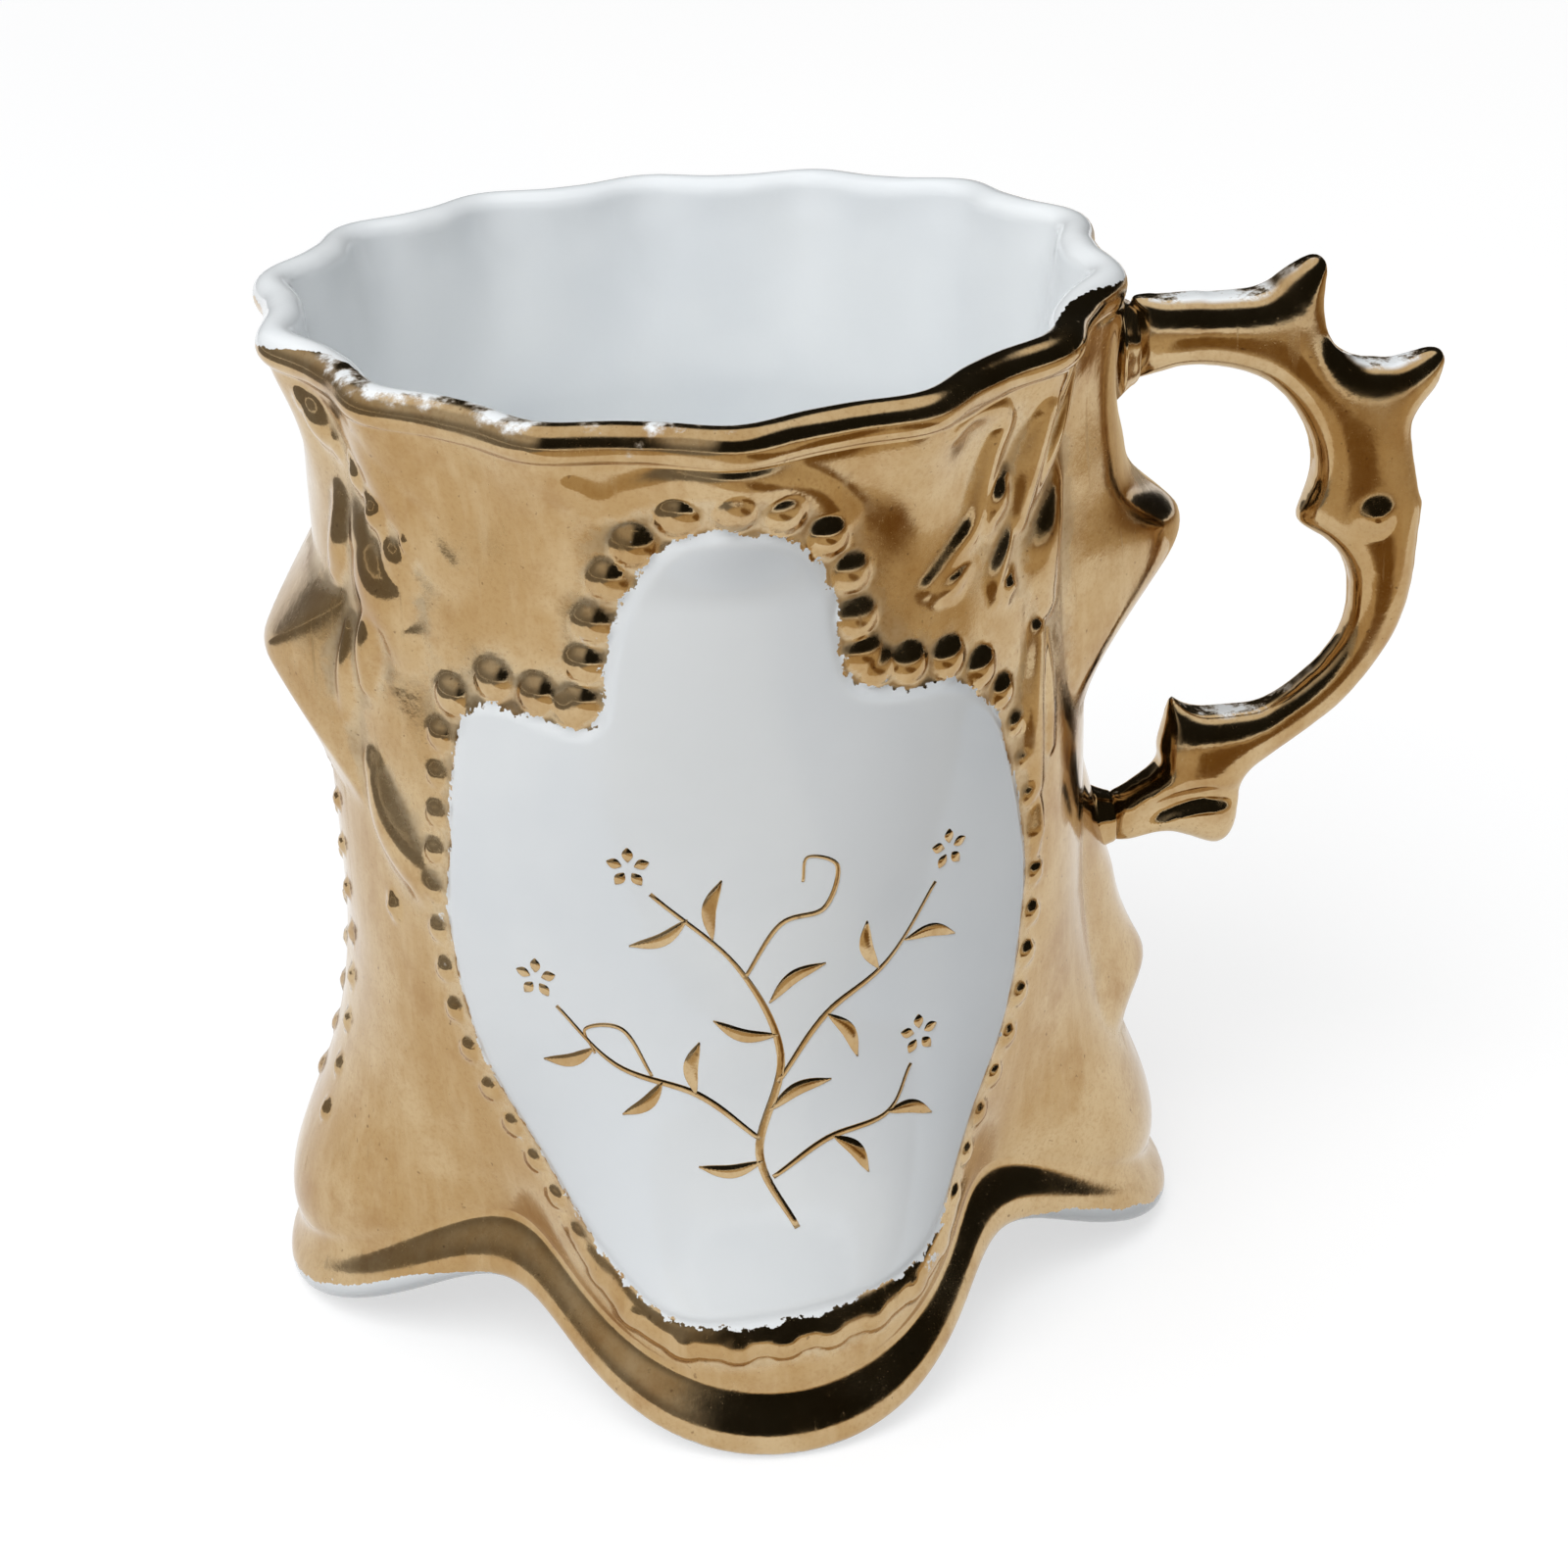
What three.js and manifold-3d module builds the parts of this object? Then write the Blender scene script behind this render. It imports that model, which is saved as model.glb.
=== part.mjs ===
// A small porcelain cup with a moulded, gold-lustred body and a branch handle.
// Millimetres, +Z up. The handle points along +X, and the front panel faces -Y.
import * as THREE from 'three';
import { mergeVertices } from 'three/addons/utils/BufferGeometryUtils.js';
import Module from 'manifold-3d';

// Wall and rim
const CUP_HEIGHT = 75;
const WALL_RADIUS = 27.4;
const WALL_THICKNESS = 2.6;
const RIM_RADIUS = 30.2;
const RIM_ROLL = 2.4;
const RIM_FLARE_HEIGHT = 13;
const RIM_SADDLE_HEIGHT = 1.8;
const RIM_WAVE_COUNT = 14;
const RIM_WAVE_DEPTH = 0.65;

// Base: four feet with arches between them, a rolled lip along the hem and a hollow underneath
const FOOT_COUNT = 4;
const FOOT_RADIUS = 34;
const ARCH_RADIUS = 26.1;
const ARCH_HEIGHT = 7.3;
const LIP_HEIGHT = 2.6;
const LIP_BULGE = 1.5;
const LIP_WIDTH = 3.2;
const FOOT_BREADTH = 0.09;
const CAVETTO_DEPTH = 1.7;
const CAVETTO_HEIGHT = 2.6;
const FLARE_TOP = 30;
const FOOT_FLARE = { leanOut: 1, leanUp: 4.5, swellOut: 0.6, swellDown: 14 };
const ARCH_FLARE = { leanOut: 0.6, leanUp: 2.2, swellOut: -0.2, swellDown: 10 };
const FOOT_GRIND = 0.4;
const FLOOR_HEIGHT = 12;
const FLOOR_THICKNESS = 3;
const FLOOR_RADIUS = 12;

// Raised shield panel, front and back
const PANEL_WIDTH = 45.4;
const PANEL_BOTTOM = 10.2;
const PANEL_DROP = 7;
const PANEL_RISE = 0.5;
const PANEL_ROOT = 0.6;

// Bead border round the panel, and a row of beads down the side that is away from the handle
const BEAD_RADIUS = 1.55;
const BEAD_RISE = 0.8;
const BEAD_OFFSET_LENGTH = 1.5;
const BEAD_PITCH = 2.9;
const FLANK_TOP = 50;
const FLANK_BOTTOM = 12;
const SIDE_BEAD_SIZE = 0.85;
const SIDE_BEAD_COUNT = 9;
const SIDE_BEAD_DEGREES = -83;

// Moulded leaves between the panel and the sides
const LEAF_HALF = 1.5;
const LEAF_RISE = 0.9;

// Thorns at the sides of the wall, and the leaf tail under the handle. flank is how high the two sides of a
// thorn would meet if its top edge did not cut them off.
const FIN = {
  degrees: 90, reach: 7.8, root: 42, tip: 54.3, blunt: 2, top: 62.5, web: 3.2, climb: 1.35, fall: 2.3,
  flank: 10.2, spreadDegrees: 31, hollow: 1.35,
};
const THORN = {
  degrees: -86, reach: 4.1, root: 41, tip: 51, blunt: 1, top: 59, web: 0, climb: 1.2, fall: 1.2,
  flank: 4.6, spreadDegrees: 19, hollow: 1,
};
const TAIL = {
  degrees: 90, reach: 3.4, root: 11, tip: 18.2, blunt: 1.4, top: 26, web: 2.3, climb: 2, fall: 2,
  flank: 4.2, spreadDegrees: 10, hollow: 1,
};
const WEB_FADE = 12;

// Handle: a branch in the plane y = 0, with luting slip between its roots and the wall
const HANDLE_DROP = 5.7;
const HANDLE_BOTTOM = 31.4;
const HANDLE_REACH = 23;
const HANDLE_HALF = 2.5;
const HANDLE_FLATTEN = 0.95;
const SLIP_THICKNESS = 0.7;
const SLIP_SQUEEZE = 0.6;
const SEAT_GAP = 0.3;

// Mesh fineness
const SEGMENTS = 6 * RIM_WAVE_COUNT;
const WALL_RING_STEP = 2.7;
const BRANCH_SIDES = 12;
const BRANCH_STEPS = 46;
const SPUR_STEPS = 6;
const BOSS_SIDES = 4;
const BEAD_STEPS = 3;
const LEAF_STEPS = 5;
const MERGE_TOLERANCE = 1e-4;
const SMALLEST_STEP = 0.04;

const HANDLE_SIDE = Math.PI / 2;
const { degToRad, lerp, mapLinear, smoothstep } = THREE.MathUtils;

const wasm = await Module();
wasm.setup();

// A closed three.js geometry as a solid that can be joined and cut
function solid(geometry) {
  const bare = geometry.clone();
  bare.deleteAttribute('normal');
  bare.deleteAttribute('uv');
  const merged = mergeVertices(bare, MERGE_TOLERANCE);
  const corners = merged.index.array;
  const kept = [];
  for (let i = 0; i < corners.length; i += 3) {
    const [a, b, c] = corners.slice(i, i + 3);
    if (a !== b && b !== c && c !== a) kept.push(a, b, c);
  }
  return new wasm.Manifold(new wasm.Mesh({
    numProp: 3,
    vertProperties: new Float32Array(merged.attributes.position.array),
    triVerts: new Uint32Array(kept),
  }));
}

// A solid as a named mesh with its own finish
function piece(name, shape, color, roughness, metalness) {
  const { vertProperties, triVerts } = shape.getMesh();
  const geometry = new THREE.BufferGeometry();
  geometry.setAttribute('position', new THREE.BufferAttribute(vertProperties, 3));
  geometry.setIndex(new THREE.BufferAttribute(triVerts, 1));
  geometry.computeVertexNormals();
  const material = new THREE.MeshStandardMaterial({ color, roughness, metalness });
  const mesh = new THREE.Mesh(geometry, material);
  mesh.name = name;
  return mesh;
}

const point = (r, z) => new THREE.Vector2(r, z);

// Points along a curve, without the first one, which the stretch before it already has
const along = (curve, steps) => curve.getPoints(steps).slice(1);

// Section of the base from the lip's inner bottom edge up to the plain wall.
// reach and base are where the hem stands. The flare leans out of the neck and swells into the wall.
function hemSection(reach, base, { leanOut, leanUp, swellOut, swellDown }) {
  const lipTop = base + LIP_HEIGHT;
  const neck = point(reach - CAVETTO_DEPTH, lipTop + CAVETTO_HEIGHT);
  const flare = new THREE.CubicBezierCurve(
    neck,
    neck.clone().add(point(leanOut, leanUp)),
    point(WALL_RADIUS + swellOut, FLARE_TOP - swellDown),
    point(WALL_RADIUS, FLARE_TOP),
  );
  return [
    point(reach - LIP_WIDTH, base - FOOT_GRIND),
    point(reach - LIP_BULGE, base - FOOT_GRIND),
    point(reach, base + LIP_HEIGHT / 2),
    point(reach - LIP_BULGE / 3, lipTop),
    neck,
    ...along(flare, 6),
  ];
}

// Section above the flare: wall, rim flare and the outer half of the rolled rim
function upperSection() {
  const flareFoot = CUP_HEIGHT - RIM_FLARE_HEIGHT;
  const wall = new THREE.LineCurve(point(WALL_RADIUS, FLARE_TOP), point(WALL_RADIUS, flareFoot));
  const rollRadius = RIM_ROLL / 2;
  const rimFoot = CUP_HEIGHT - rollRadius;
  const flare = new THREE.QuadraticBezierCurve(
    point(WALL_RADIUS, flareFoot),
    point(RIM_RADIUS - RIM_ROLL / 3, (flareFoot + rimFoot) / 2 - rollRadius),
    point(RIM_RADIUS, rimFoot),
  );
  const roll = new THREE.EllipseCurve(RIM_RADIUS - rollRadius, rimFoot, rollRadius, rollRadius, 0, Math.PI);
  return [
    ...along(wall, Math.ceil((flareFoot - FLARE_TOP) / WALL_RING_STEP)),
    ...along(flare, 5),
    ...along(roll, 4),
  ];
}

// Section of the inside, from below the rim down to the axis
function innerSection() {
  const bore = WALL_RADIUS - WALL_THICKNESS;
  const shoulder = point(bore, CUP_HEIGHT - RIM_FLARE_HEIGHT - WALL_THICKNESS);
  const rimEdge = point(RIM_RADIUS - RIM_ROLL, CUP_HEIGHT - RIM_ROLL / 2);
  const neck = new THREE.QuadraticBezierCurve(rimEdge, point(bore, shoulder.y + RIM_ROLL), shoulder);
  const wall = new THREE.LineCurve(shoulder, point(bore, FLARE_TOP));
  const bowl = new THREE.CubicBezierCurve(
    point(bore, FLARE_TOP),
    point(bore - WALL_THICKNESS / 2, (FLARE_TOP + FLOOR_HEIGHT) / 2),
    point((bore + 2 * FLOOR_RADIUS) / 2 - WALL_THICKNESS, FLOOR_HEIGHT),
    point(FLOOR_RADIUS, FLOOR_HEIGHT),
  );
  return [...along(neck, 3), ...along(wall, 1), ...along(bowl, 4), point(0, FLOOR_HEIGHT)];
}

// Section of the hollow under the floor, from the axis out to the lip's inner edge
function hollowSection(reach, base) {
  const ceiling = FLOOR_HEIGHT - FLOOR_THICKNESS;
  const edge = point(reach - LIP_WIDTH - WALL_THICKNESS - (ceiling - base) / 2, ceiling);
  const knee = point(reach - LIP_WIDTH - WALL_THICKNESS / 2, (ceiling + base) / 2);
  return [point(0, ceiling), edge, knee];
}

const footHem = hemSection(FOOT_RADIUS, 0, FOOT_FLARE);
const archHem = hemSection(ARCH_RADIUS, ARCH_HEIGHT, ARCH_FLARE);
const upper = upperSection();

// How far a side thorn stands out of the wall at a height: a hollow slope up to its blunt tip, and a
// concave top edge down to a web
function thornRise(thorn, z) {
  const { reach, root, tip, blunt, top, web, climb, fall } = thorn;
  const bluntTop = tip + blunt;
  if (z < root) return 0;
  if (z < tip) return reach * ((z - root) / (tip - root)) ** climb;
  if (z < bluntTop) return reach;
  if (z < top) return web + (reach - web) * ((top - z) / (top - bluntTop)) ** fall;
  return web * Math.max(0, 1 - (z - top) / WEB_FADE);
}

// How high the sides of a thorn stand at an angle: slightly hollow slopes up to a ridge
function flankRise({ degrees, flank, spreadDegrees, hollow }, phi) {
  const away = phi - degToRad(degrees);
  const off = Math.abs(Math.atan2(Math.sin(away), Math.cos(away)));
  return flank * Math.max(0, 1 - off / degToRad(spreadDegrees)) ** hollow;
}

// How far thorns stand out of the wall at a place: each has its sides cut off by its top and bottom edges
function relief(phi, z) {
  return Math.max(...[FIN, THORN, TAIL].map((thorn) => Math.min(thornRise(thorn, z), flankRise(thorn, phi))));
}

// Share of the way from a foot to the middle of an arch at an angle. Feet are a little broader than arches.
function archShare(phi) {
  const turn = FOOT_COUNT * phi;
  return (1 - Math.cos(turn)) / 2 - FOOT_BREADTH * (1 - Math.cos(2 * turn)) / 2;
}

// Share of the rim's shape that is left at a height: none below the foot of its flare
const rimShare = (z) => smoothstep(z, CUP_HEIGHT - RIM_FLARE_HEIGHT, CUP_HEIGHT - RIM_ROLL);

// Outward waves of the rim, and its gentle rise at the two sides
const rimWave = (phi, z) => rimShare(z) * RIM_WAVE_DEPTH * Math.cos(RIM_WAVE_COUNT * phi);
const rimRise = (phi, z) => rimShare(z) * RIM_SADDLE_HEIGHT * (1 - Math.cos(2 * phi)) / 2;

// A revolved skin between the section over a foot and the section over an arch. The lathe gives the
// closed surface, and each of its points then moves to its place between the two sections.
function moulded(overFoot, overArch, radiusAt) {
  const skin = new THREE.LatheGeometry(overFoot, SEGMENTS);
  const position = skin.attributes.position;
  for (let i = 0; i <= SEGMENTS; i += 1) {
    const phi = 2 * Math.PI * (i % SEGMENTS) / SEGMENTS;
    overFoot.forEach((foot, j) => {
      const at = foot.clone().lerp(overArch[j], archShare(phi));
      const r = at.x === 0 ? 0 : radiusAt(at, phi, j);
      const z = at.y + (at.x === 0 ? 0 : rimRise(phi, at.y));
      position.setXYZ(i * overFoot.length + j, r * Math.sin(phi), -r * Math.cos(phi), z);
    });
  }
  return solid(skin);
}

// The outside of the cup as a solid block, grown by a clearance: what sits on the wall is cut by it
function outside(clearance) {
  const topMiddle = point(0, CUP_HEIGHT);
  const overFoot = [point(0, 0), ...footHem, ...upper, topMiddle];
  const overArch = [point(0, ARCH_HEIGHT), ...archHem, ...upper, topMiddle];
  return moulded(overFoot, overArch, (at, phi) => (
    at.x + clearance + relief(phi, at.y) + rimWave(phi, at.y)
  ));
}

// The whole body: outside, rim and inside, open at the top, hollow below, with its feet ground flat
function castBody() {
  const inner = innerSection();
  const footHollow = hollowSection(FOOT_RADIUS, 0);
  const archHollow = hollowSection(ARCH_RADIUS, ARCH_HEIGHT);
  const overFoot = [...footHollow, ...footHem, ...upper, ...inner];
  const overArch = [...archHollow, ...archHem, ...upper, ...inner];
  const firstOuter = footHollow.length;
  const firstInner = overFoot.length - inner.length;
  const body = moulded(overFoot, overArch, (at, phi, j) => {
    const outer = j >= firstOuter && j < firstInner;
    return at.x + rimWave(phi, at.y) + (outer ? relief(phi, at.y) : 0);
  });
  const ground = new THREE.BoxGeometry(3 * FOOT_RADIUS, 3 * FOOT_RADIUS, FOOT_RADIUS);
  ground.translate(0, 0, -FOOT_RADIUS / 2);
  return body.subtract(solid(ground));
}

// Outside radius of the cup at an angle and a height
function outsideRadius(phi, z) {
  const hem = footHem.map((foot, j) => foot.clone().lerp(archHem[j], archShare(phi)));
  const levels = [...hem, ...upper];
  const above = levels.findIndex((level, j) => j > 0 && (level.y >= z || j === levels.length - 1));
  const [low, high] = [levels[above - 1], levels[above]];
  return mapLinear(z, low.y, high.y, low.x, high.x) + rimWave(phi, z) + relief(phi, z);
}

// Moves point i of a geometry to a place on the outside of the cup, lifted off it by a height
function layOnWall(position, i, phi, z, lift) {
  const r = outsideRadius(phi, z) + lift;
  position.setXYZ(i, r * Math.sin(phi), -r * Math.cos(phi), z + rimRise(phi, z));
}

// The shield's two edges from the bottom up, in shares of its half width and of its height. It is drawn
// by hand, so the two differ a little.
const SHIELD_RIGHT = [
  [0.17, 0.005], [0.34, 0.016], [0.55, 0.064], [0.74, 0.177], [0.885, 0.29], [0.97, 0.447], [0.95, 0.55],
  [0.875, 0.66], [0.78, 0.722], [0.63, 0.76], [0.42, 0.77], [0.316, 0.79], [0.28, 0.847], [0.257, 0.916],
  [0.147, 0.979], [0.02, 1],
];
const SHIELD_LEFT = [
  [-0.15, -0.003], [-0.295, -0.003], [-0.506, 0.064], [-0.716, 0.169], [-0.906, 0.29], [-0.99, 0.447],
  [-0.96, 0.603], [-0.927, 0.7], [-0.853, 0.756], [-0.716, 0.765], [-0.527, 0.746], [-0.438, 0.76],
  [-0.396, 0.836], [-0.327, 0.916], [-0.19, 0.984], [-0.1, 1],
];

const panelTop = CUP_HEIGHT - PANEL_DROP;

// A corner of the shield as an angle round the cup and a height
const shieldPoint = ([u, v]) => point(u * PANEL_WIDTH / 2 / WALL_RADIUS, lerp(PANEL_BOTTOM, panelTop, v));

// The shield panel as a plaque bent round the wall, with its root sunk into it. Each row of the grid
// runs from the left edge of the outline to the right one.
function shieldPlaque() {
  const rows = 22;
  const columns = 8;
  const right = new THREE.SplineCurve(SHIELD_RIGHT.map(shieldPoint));
  const left = new THREE.SplineCurve(SHIELD_LEFT.map(shieldPoint));
  const plaque = new THREE.BoxGeometry(1, 1, 1, columns, rows, 1);
  const position = plaque.attributes.position;
  for (let i = 0; i < position.count; i += 1) {
    const row = position.getY(i) + 0.5;
    const at = left.getPoint(row).lerp(right.getPoint(row), position.getX(i) + 0.5);
    layOnWall(position, i, at.x, at.y, position.getZ(i) > 0 ? PANEL_RISE : -PANEL_ROOT);
  }
  return solid(plaque);
}

// A rounded boss on the wall: a ball drawn out along a path of angles and heights, thickest in its middle
function boss(path, width, rise, steps) {
  const ball = new THREE.SphereGeometry(1, BOSS_SIDES, steps);
  const position = ball.attributes.position;
  for (let i = 0; i < position.count; i += 1) {
    const t = (position.getY(i) + 1) / 2;
    const heading = path.getTangent(t);
    const slope = point(heading.x * WALL_RADIUS, heading.y).normalize();
    const sideways = position.getX(i) * width;
    const at = path.getPoint(t).add(point(slope.y * sideways / WALL_RADIUS, -slope.x * sideways));
    layOnWall(position, i, at.x, at.y, position.getZ(i) * rise);
  }
  return solid(ball);
}

function bead(phi, z, size) {
  const radius = BEAD_RADIUS * size;
  const upright = new THREE.LineCurve(point(phi, z - radius), point(phi, z + radius));
  return boss(upright, radius, BEAD_RISE * size, BEAD_STEPS);
}

// Beads along the shield's outline, over its hood and shoulders and under its foot. Along its flanks the
// border is nearly flat.
function beadBorder() {
  const corners = [...SHIELD_RIGHT, ...SHIELD_LEFT.toReversed()].map(shieldPoint);
  const flat = corners.map((at) => new THREE.Vector3(at.x * WALL_RADIUS, at.y, 0));
  const outline = new THREE.CatmullRomCurve3(flat, true, 'catmullrom');
  const count = Math.round(outline.getLength() / BEAD_PITCH);
  const beads = [];
  for (let k = 0; k < count; k += 1) {
    const at = outline.getPointAt(k / count);
    const heading = outline.getTangentAt(k / count);
    const phi = (at.x + heading.y * BEAD_OFFSET_LENGTH) / WALL_RADIUS;
    const z = at.y - heading.x * BEAD_OFFSET_LENGTH;
    if (z > FLANK_TOP || z < FLANK_BOTTOM) beads.push(bead(phi, z, 1));
  }
  return beads;
}

function sideBeads() {
  return Array.from({ length: SIDE_BEAD_COUNT }, (_, k) => {
    const z = lerp(THORN.root, FLARE_TOP / 2, k / (SIDE_BEAD_COUNT - 1));
    return bead(degToRad(SIDE_BEAD_DEGREES), z, SIDE_BEAD_SIZE);
  });
}

// The main moulded leaves between the panel and the thorns, each a path of [degrees, share of the cup's
// height] with its width and its rise against a plain leaf
const LEAVES = [
  { path: [[-72, 0.943], [-64.5, 0.915]], width: 1, rise: 1 },
  { path: [[-58, 0.895], [-53.5, 0.862]], width: 0.9, rise: 1 },
  { path: [[-59, 0.85], [-55.5, 0.807], [-51.5, 0.767]], width: 2, rise: 1.2 },
  { path: [[-57, 0.785], [-60.5, 0.695]], width: 1, rise: 1 },
  { path: [[-63.4, 0.755], [-66, 0.65]], width: 0.8, rise: 1 },
  { path: [[-61, 0.622], [-56.6, 0.562], [-50.5, 0.517]], width: 1.35, rise: 1.1 },
  { path: [[50, 0.94], [47.2, 0.893], [44, 0.838]], width: 0.95, rise: 1 },
  { path: [[57, 0.86], [51, 0.803], [52.5, 0.74]], width: 1.4, rise: 1.1 },
  { path: [[49.6, 0.73], [47.6, 0.653], [48.5, 0.56]], width: 0.9, rise: 1 },
  { path: [[42.6, 0.89], [37.4, 0.852]], width: 0.8, rise: 0.8 },
  { path: [[61.5, 0.935], [54, 0.893], [46.5, 0.856]], width: 0.7, rise: 0.8 },
];

function leaf({ path, width, rise }) {
  const curve = new THREE.SplineCurve(path.map(([turn, share]) => point(degToRad(turn), CUP_HEIGHT * share)));
  return boss(curve, LEAF_HALF * width, LEAF_RISE * rise, LEAF_STEPS);
}

// All that is moulded on the front of the wall. The back is its mirror image.
function frontOrnament() {
  return wasm.Manifold.union([shieldPlaque(), ...beadBorder(), ...sideBeads(), ...LEAVES.map(leaf)]);
}

// A branch that follows knots of [reach, height, half thickness] in the plane y = 0: a cylinder whose
// rings are moved onto the curve and sized by it
function branch(knots, steps) {
  const curve = new THREE.CatmullRomCurve3(knots.map(([x, z, half]) => new THREE.Vector3(x, half, z)));
  const tube = new THREE.CylinderGeometry(1, 1, 1, BRANCH_SIDES, steps);
  const position = tube.attributes.position;
  for (let i = 0; i < position.count; i += 1) {
    const t = position.getY(i) + 0.5;
    const centre = curve.getPoint(t);
    const heading = curve.getTangent(t).setY(0).normalize();
    const half = centre.y;
    const across = position.getX(i) * half;
    const deep = position.getZ(i) * half * HANDLE_FLATTEN;
    position.setXYZ(i, centre.x - across * heading.z, deep, centre.z + across * heading.x);
  }
  return solid(tube);
}

const handleTop = CUP_HEIGHT - HANDLE_DROP;
const handleSpan = handleTop - HANDLE_BOTTOM;

// A knot from shares of the handle's reach out of the wall, of its height between the roots and of its
// half thickness
const knot = ([u, v, size]) => [
  WALL_RADIUS + HANDLE_REACH * u, HANDLE_BOTTOM + handleSpan * v, HANDLE_HALF * size,
];

const UPPER_ROOT = { z: handleTop - SLIP_THICKNESS, half: 1.44 * HANDLE_HALF };
const LOWER_ROOT = { z: HANDLE_BOTTOM, half: 0.88 * HANDLE_HALF };

// Where a root's flat end stands, clear of the highest part of the wall behind it and of its slip
function rootPlane(root) {
  const heights = [root.z - root.half, root.z, root.z + root.half];
  const behind = heights.map((z) => outsideRadius(HANDLE_SIDE, z));
  return Math.max(...behind) + SEAT_GAP + SLIP_THICKNESS + SEAT_GAP;
}

// The main branch from the upper root round to the lower one
const MAIN_BRANCH = [
  [0.46, 0.992, 1.04], [0.626, 0.97, 1.06], [0.757, 0.907, 1.12], [0.852, 0.823, 1.28], [0.917, 0.723, 1.44],
  [0.957, 0.617, 1.32], [0.991, 0.491, 1.04], [0.974, 0.39, 0.92], [0.865, 0.269, 0.82],
  [0.696, 0.187, 0.78], [0.53, 0.137, 1], [0.374, 0.055, 1.04], [0.243, 0.013, 0.84],
];

// Side spurs of the branch, each from inside it to its tip
const SPURS = {
  topCurl: [[0.59, 0.974, 0.92], [0.712, 1.045, 0.8], [0.78, 1.118, 0.24]],
  outerThorn: [[0.883, 0.794, 1.2], [1.03, 0.844, 1], [1.122, 0.884, 0.64], [1.183, 0.913, 0.24]],
  innerCusp: [[0.917, 0.644, 1.12], [0.8, 0.617, 0.68], [0.717, 0.599, 0.2]],
  innerCurl: [[0.439, 0.148, 0.92], [0.357, 0.19, 0.64], [0.309, 0.24, 0.2]],
  hangingLobe: [[0.457, 0.082, 0.92], [0.461, 0.011, 0.76], [0.457, -0.045, 0.6], [0.455, -0.069, 0.24]],
};

// A root's flat end and the square stretch next to it
function rootKnots(root) {
  const plane = rootPlane(root);
  return [[plane, root.z, root.half], [plane + root.half / 2, root.z, root.half - SLIP_SQUEEZE]];
}

function castHandle() {
  const upperEnd = rootKnots(UPPER_ROOT);
  const lowerEnd = rootKnots(LOWER_ROOT).reverse();
  const main = branch([...upperEnd, ...MAIN_BRANCH.map(knot), ...lowerEnd], BRANCH_STEPS);
  const spurs = Object.values(SPURS).map((spur) => branch(spur.map(knot), SPUR_STEPS));
  return wasm.Manifold.union([main, ...spurs]).subtract(outside(SEAT_GAP));
}

// A pad of luting slip behind a root, squeezed out past it, with its back cut to the wall
function slipPad(root) {
  const face = rootPlane(root) - SEAT_GAP;
  const depth = face - (WALL_RADIUS - WALL_THICKNESS);
  const rim = root.half + SLIP_SQUEEZE;
  const bead = SLIP_THICKNESS / 2;
  const pad = new THREE.LatheGeometry([
    point(0, -depth), point(rim, -depth), point(rim, -bead), point(rim - bead, 0), point(0, 0),
  ], 2 * BRANCH_SIDES);
  pad.rotateZ(-Math.PI / 2);
  pad.translate(face, 0, root.z);
  return solid(pad).subtract(outside(SEAT_GAP));
}

const GOLD_LUSTRE = '#c49a62';
const SLIP_GOLD = '#b88f58';

const cup = new THREE.Group();
const ornament = frontOrnament();
const plainBody = castBody().simplify(SMALLEST_STEP);
const body = wasm.Manifold.union([plainBody, ornament, ornament.mirror([0, 1, 0])]);
cup.add(piece('cup_body', body, GOLD_LUSTRE, 0.2, 0.9));
cup.add(piece('handle', castHandle(), GOLD_LUSTRE, 0.2, 0.9));
cup.add(piece('upper_handle_slip', slipPad(UPPER_ROOT), SLIP_GOLD, 0.3, 0.9));
cup.add(piece('lower_handle_slip', slipPad(LOWER_ROOT), SLIP_GOLD, 0.3, 0.9));

// The origin is on the table, in the middle of the box that the cup and its handle fill
const middle = new THREE.Box3().setFromObject(cup).getCenter(new THREE.Vector3());
cup.position.set(-middle.x, -middle.y, 0);

export default cup;
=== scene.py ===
"""A gold-lustred porcelain cup with a white shield panel, a moulded body and a branch handle."""
import math

import bpy
import numpy as np
from mathutils import Matrix, Vector
from mathutils.bvhtree import BVHTree


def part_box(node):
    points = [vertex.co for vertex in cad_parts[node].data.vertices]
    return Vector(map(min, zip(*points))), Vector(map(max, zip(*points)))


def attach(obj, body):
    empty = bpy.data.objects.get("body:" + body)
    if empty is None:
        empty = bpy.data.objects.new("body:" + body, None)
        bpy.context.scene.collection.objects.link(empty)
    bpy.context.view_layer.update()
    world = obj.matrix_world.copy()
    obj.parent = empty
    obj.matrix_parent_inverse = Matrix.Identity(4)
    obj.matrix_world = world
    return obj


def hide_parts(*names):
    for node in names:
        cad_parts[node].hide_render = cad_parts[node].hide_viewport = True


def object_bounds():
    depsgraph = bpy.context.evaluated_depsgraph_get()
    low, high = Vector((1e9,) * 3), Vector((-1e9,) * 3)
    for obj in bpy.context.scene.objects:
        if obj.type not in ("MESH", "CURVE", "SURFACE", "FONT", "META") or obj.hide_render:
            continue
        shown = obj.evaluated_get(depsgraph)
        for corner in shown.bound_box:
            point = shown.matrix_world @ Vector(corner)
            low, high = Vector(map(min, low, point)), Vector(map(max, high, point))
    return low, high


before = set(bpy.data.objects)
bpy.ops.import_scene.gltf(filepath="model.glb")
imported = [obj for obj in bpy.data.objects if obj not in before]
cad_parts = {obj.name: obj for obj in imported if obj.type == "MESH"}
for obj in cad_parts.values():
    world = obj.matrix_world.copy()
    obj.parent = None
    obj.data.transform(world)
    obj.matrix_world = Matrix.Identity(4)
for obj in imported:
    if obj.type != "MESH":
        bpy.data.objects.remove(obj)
cad_low, cad_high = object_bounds()

MM = 0.001

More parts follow.
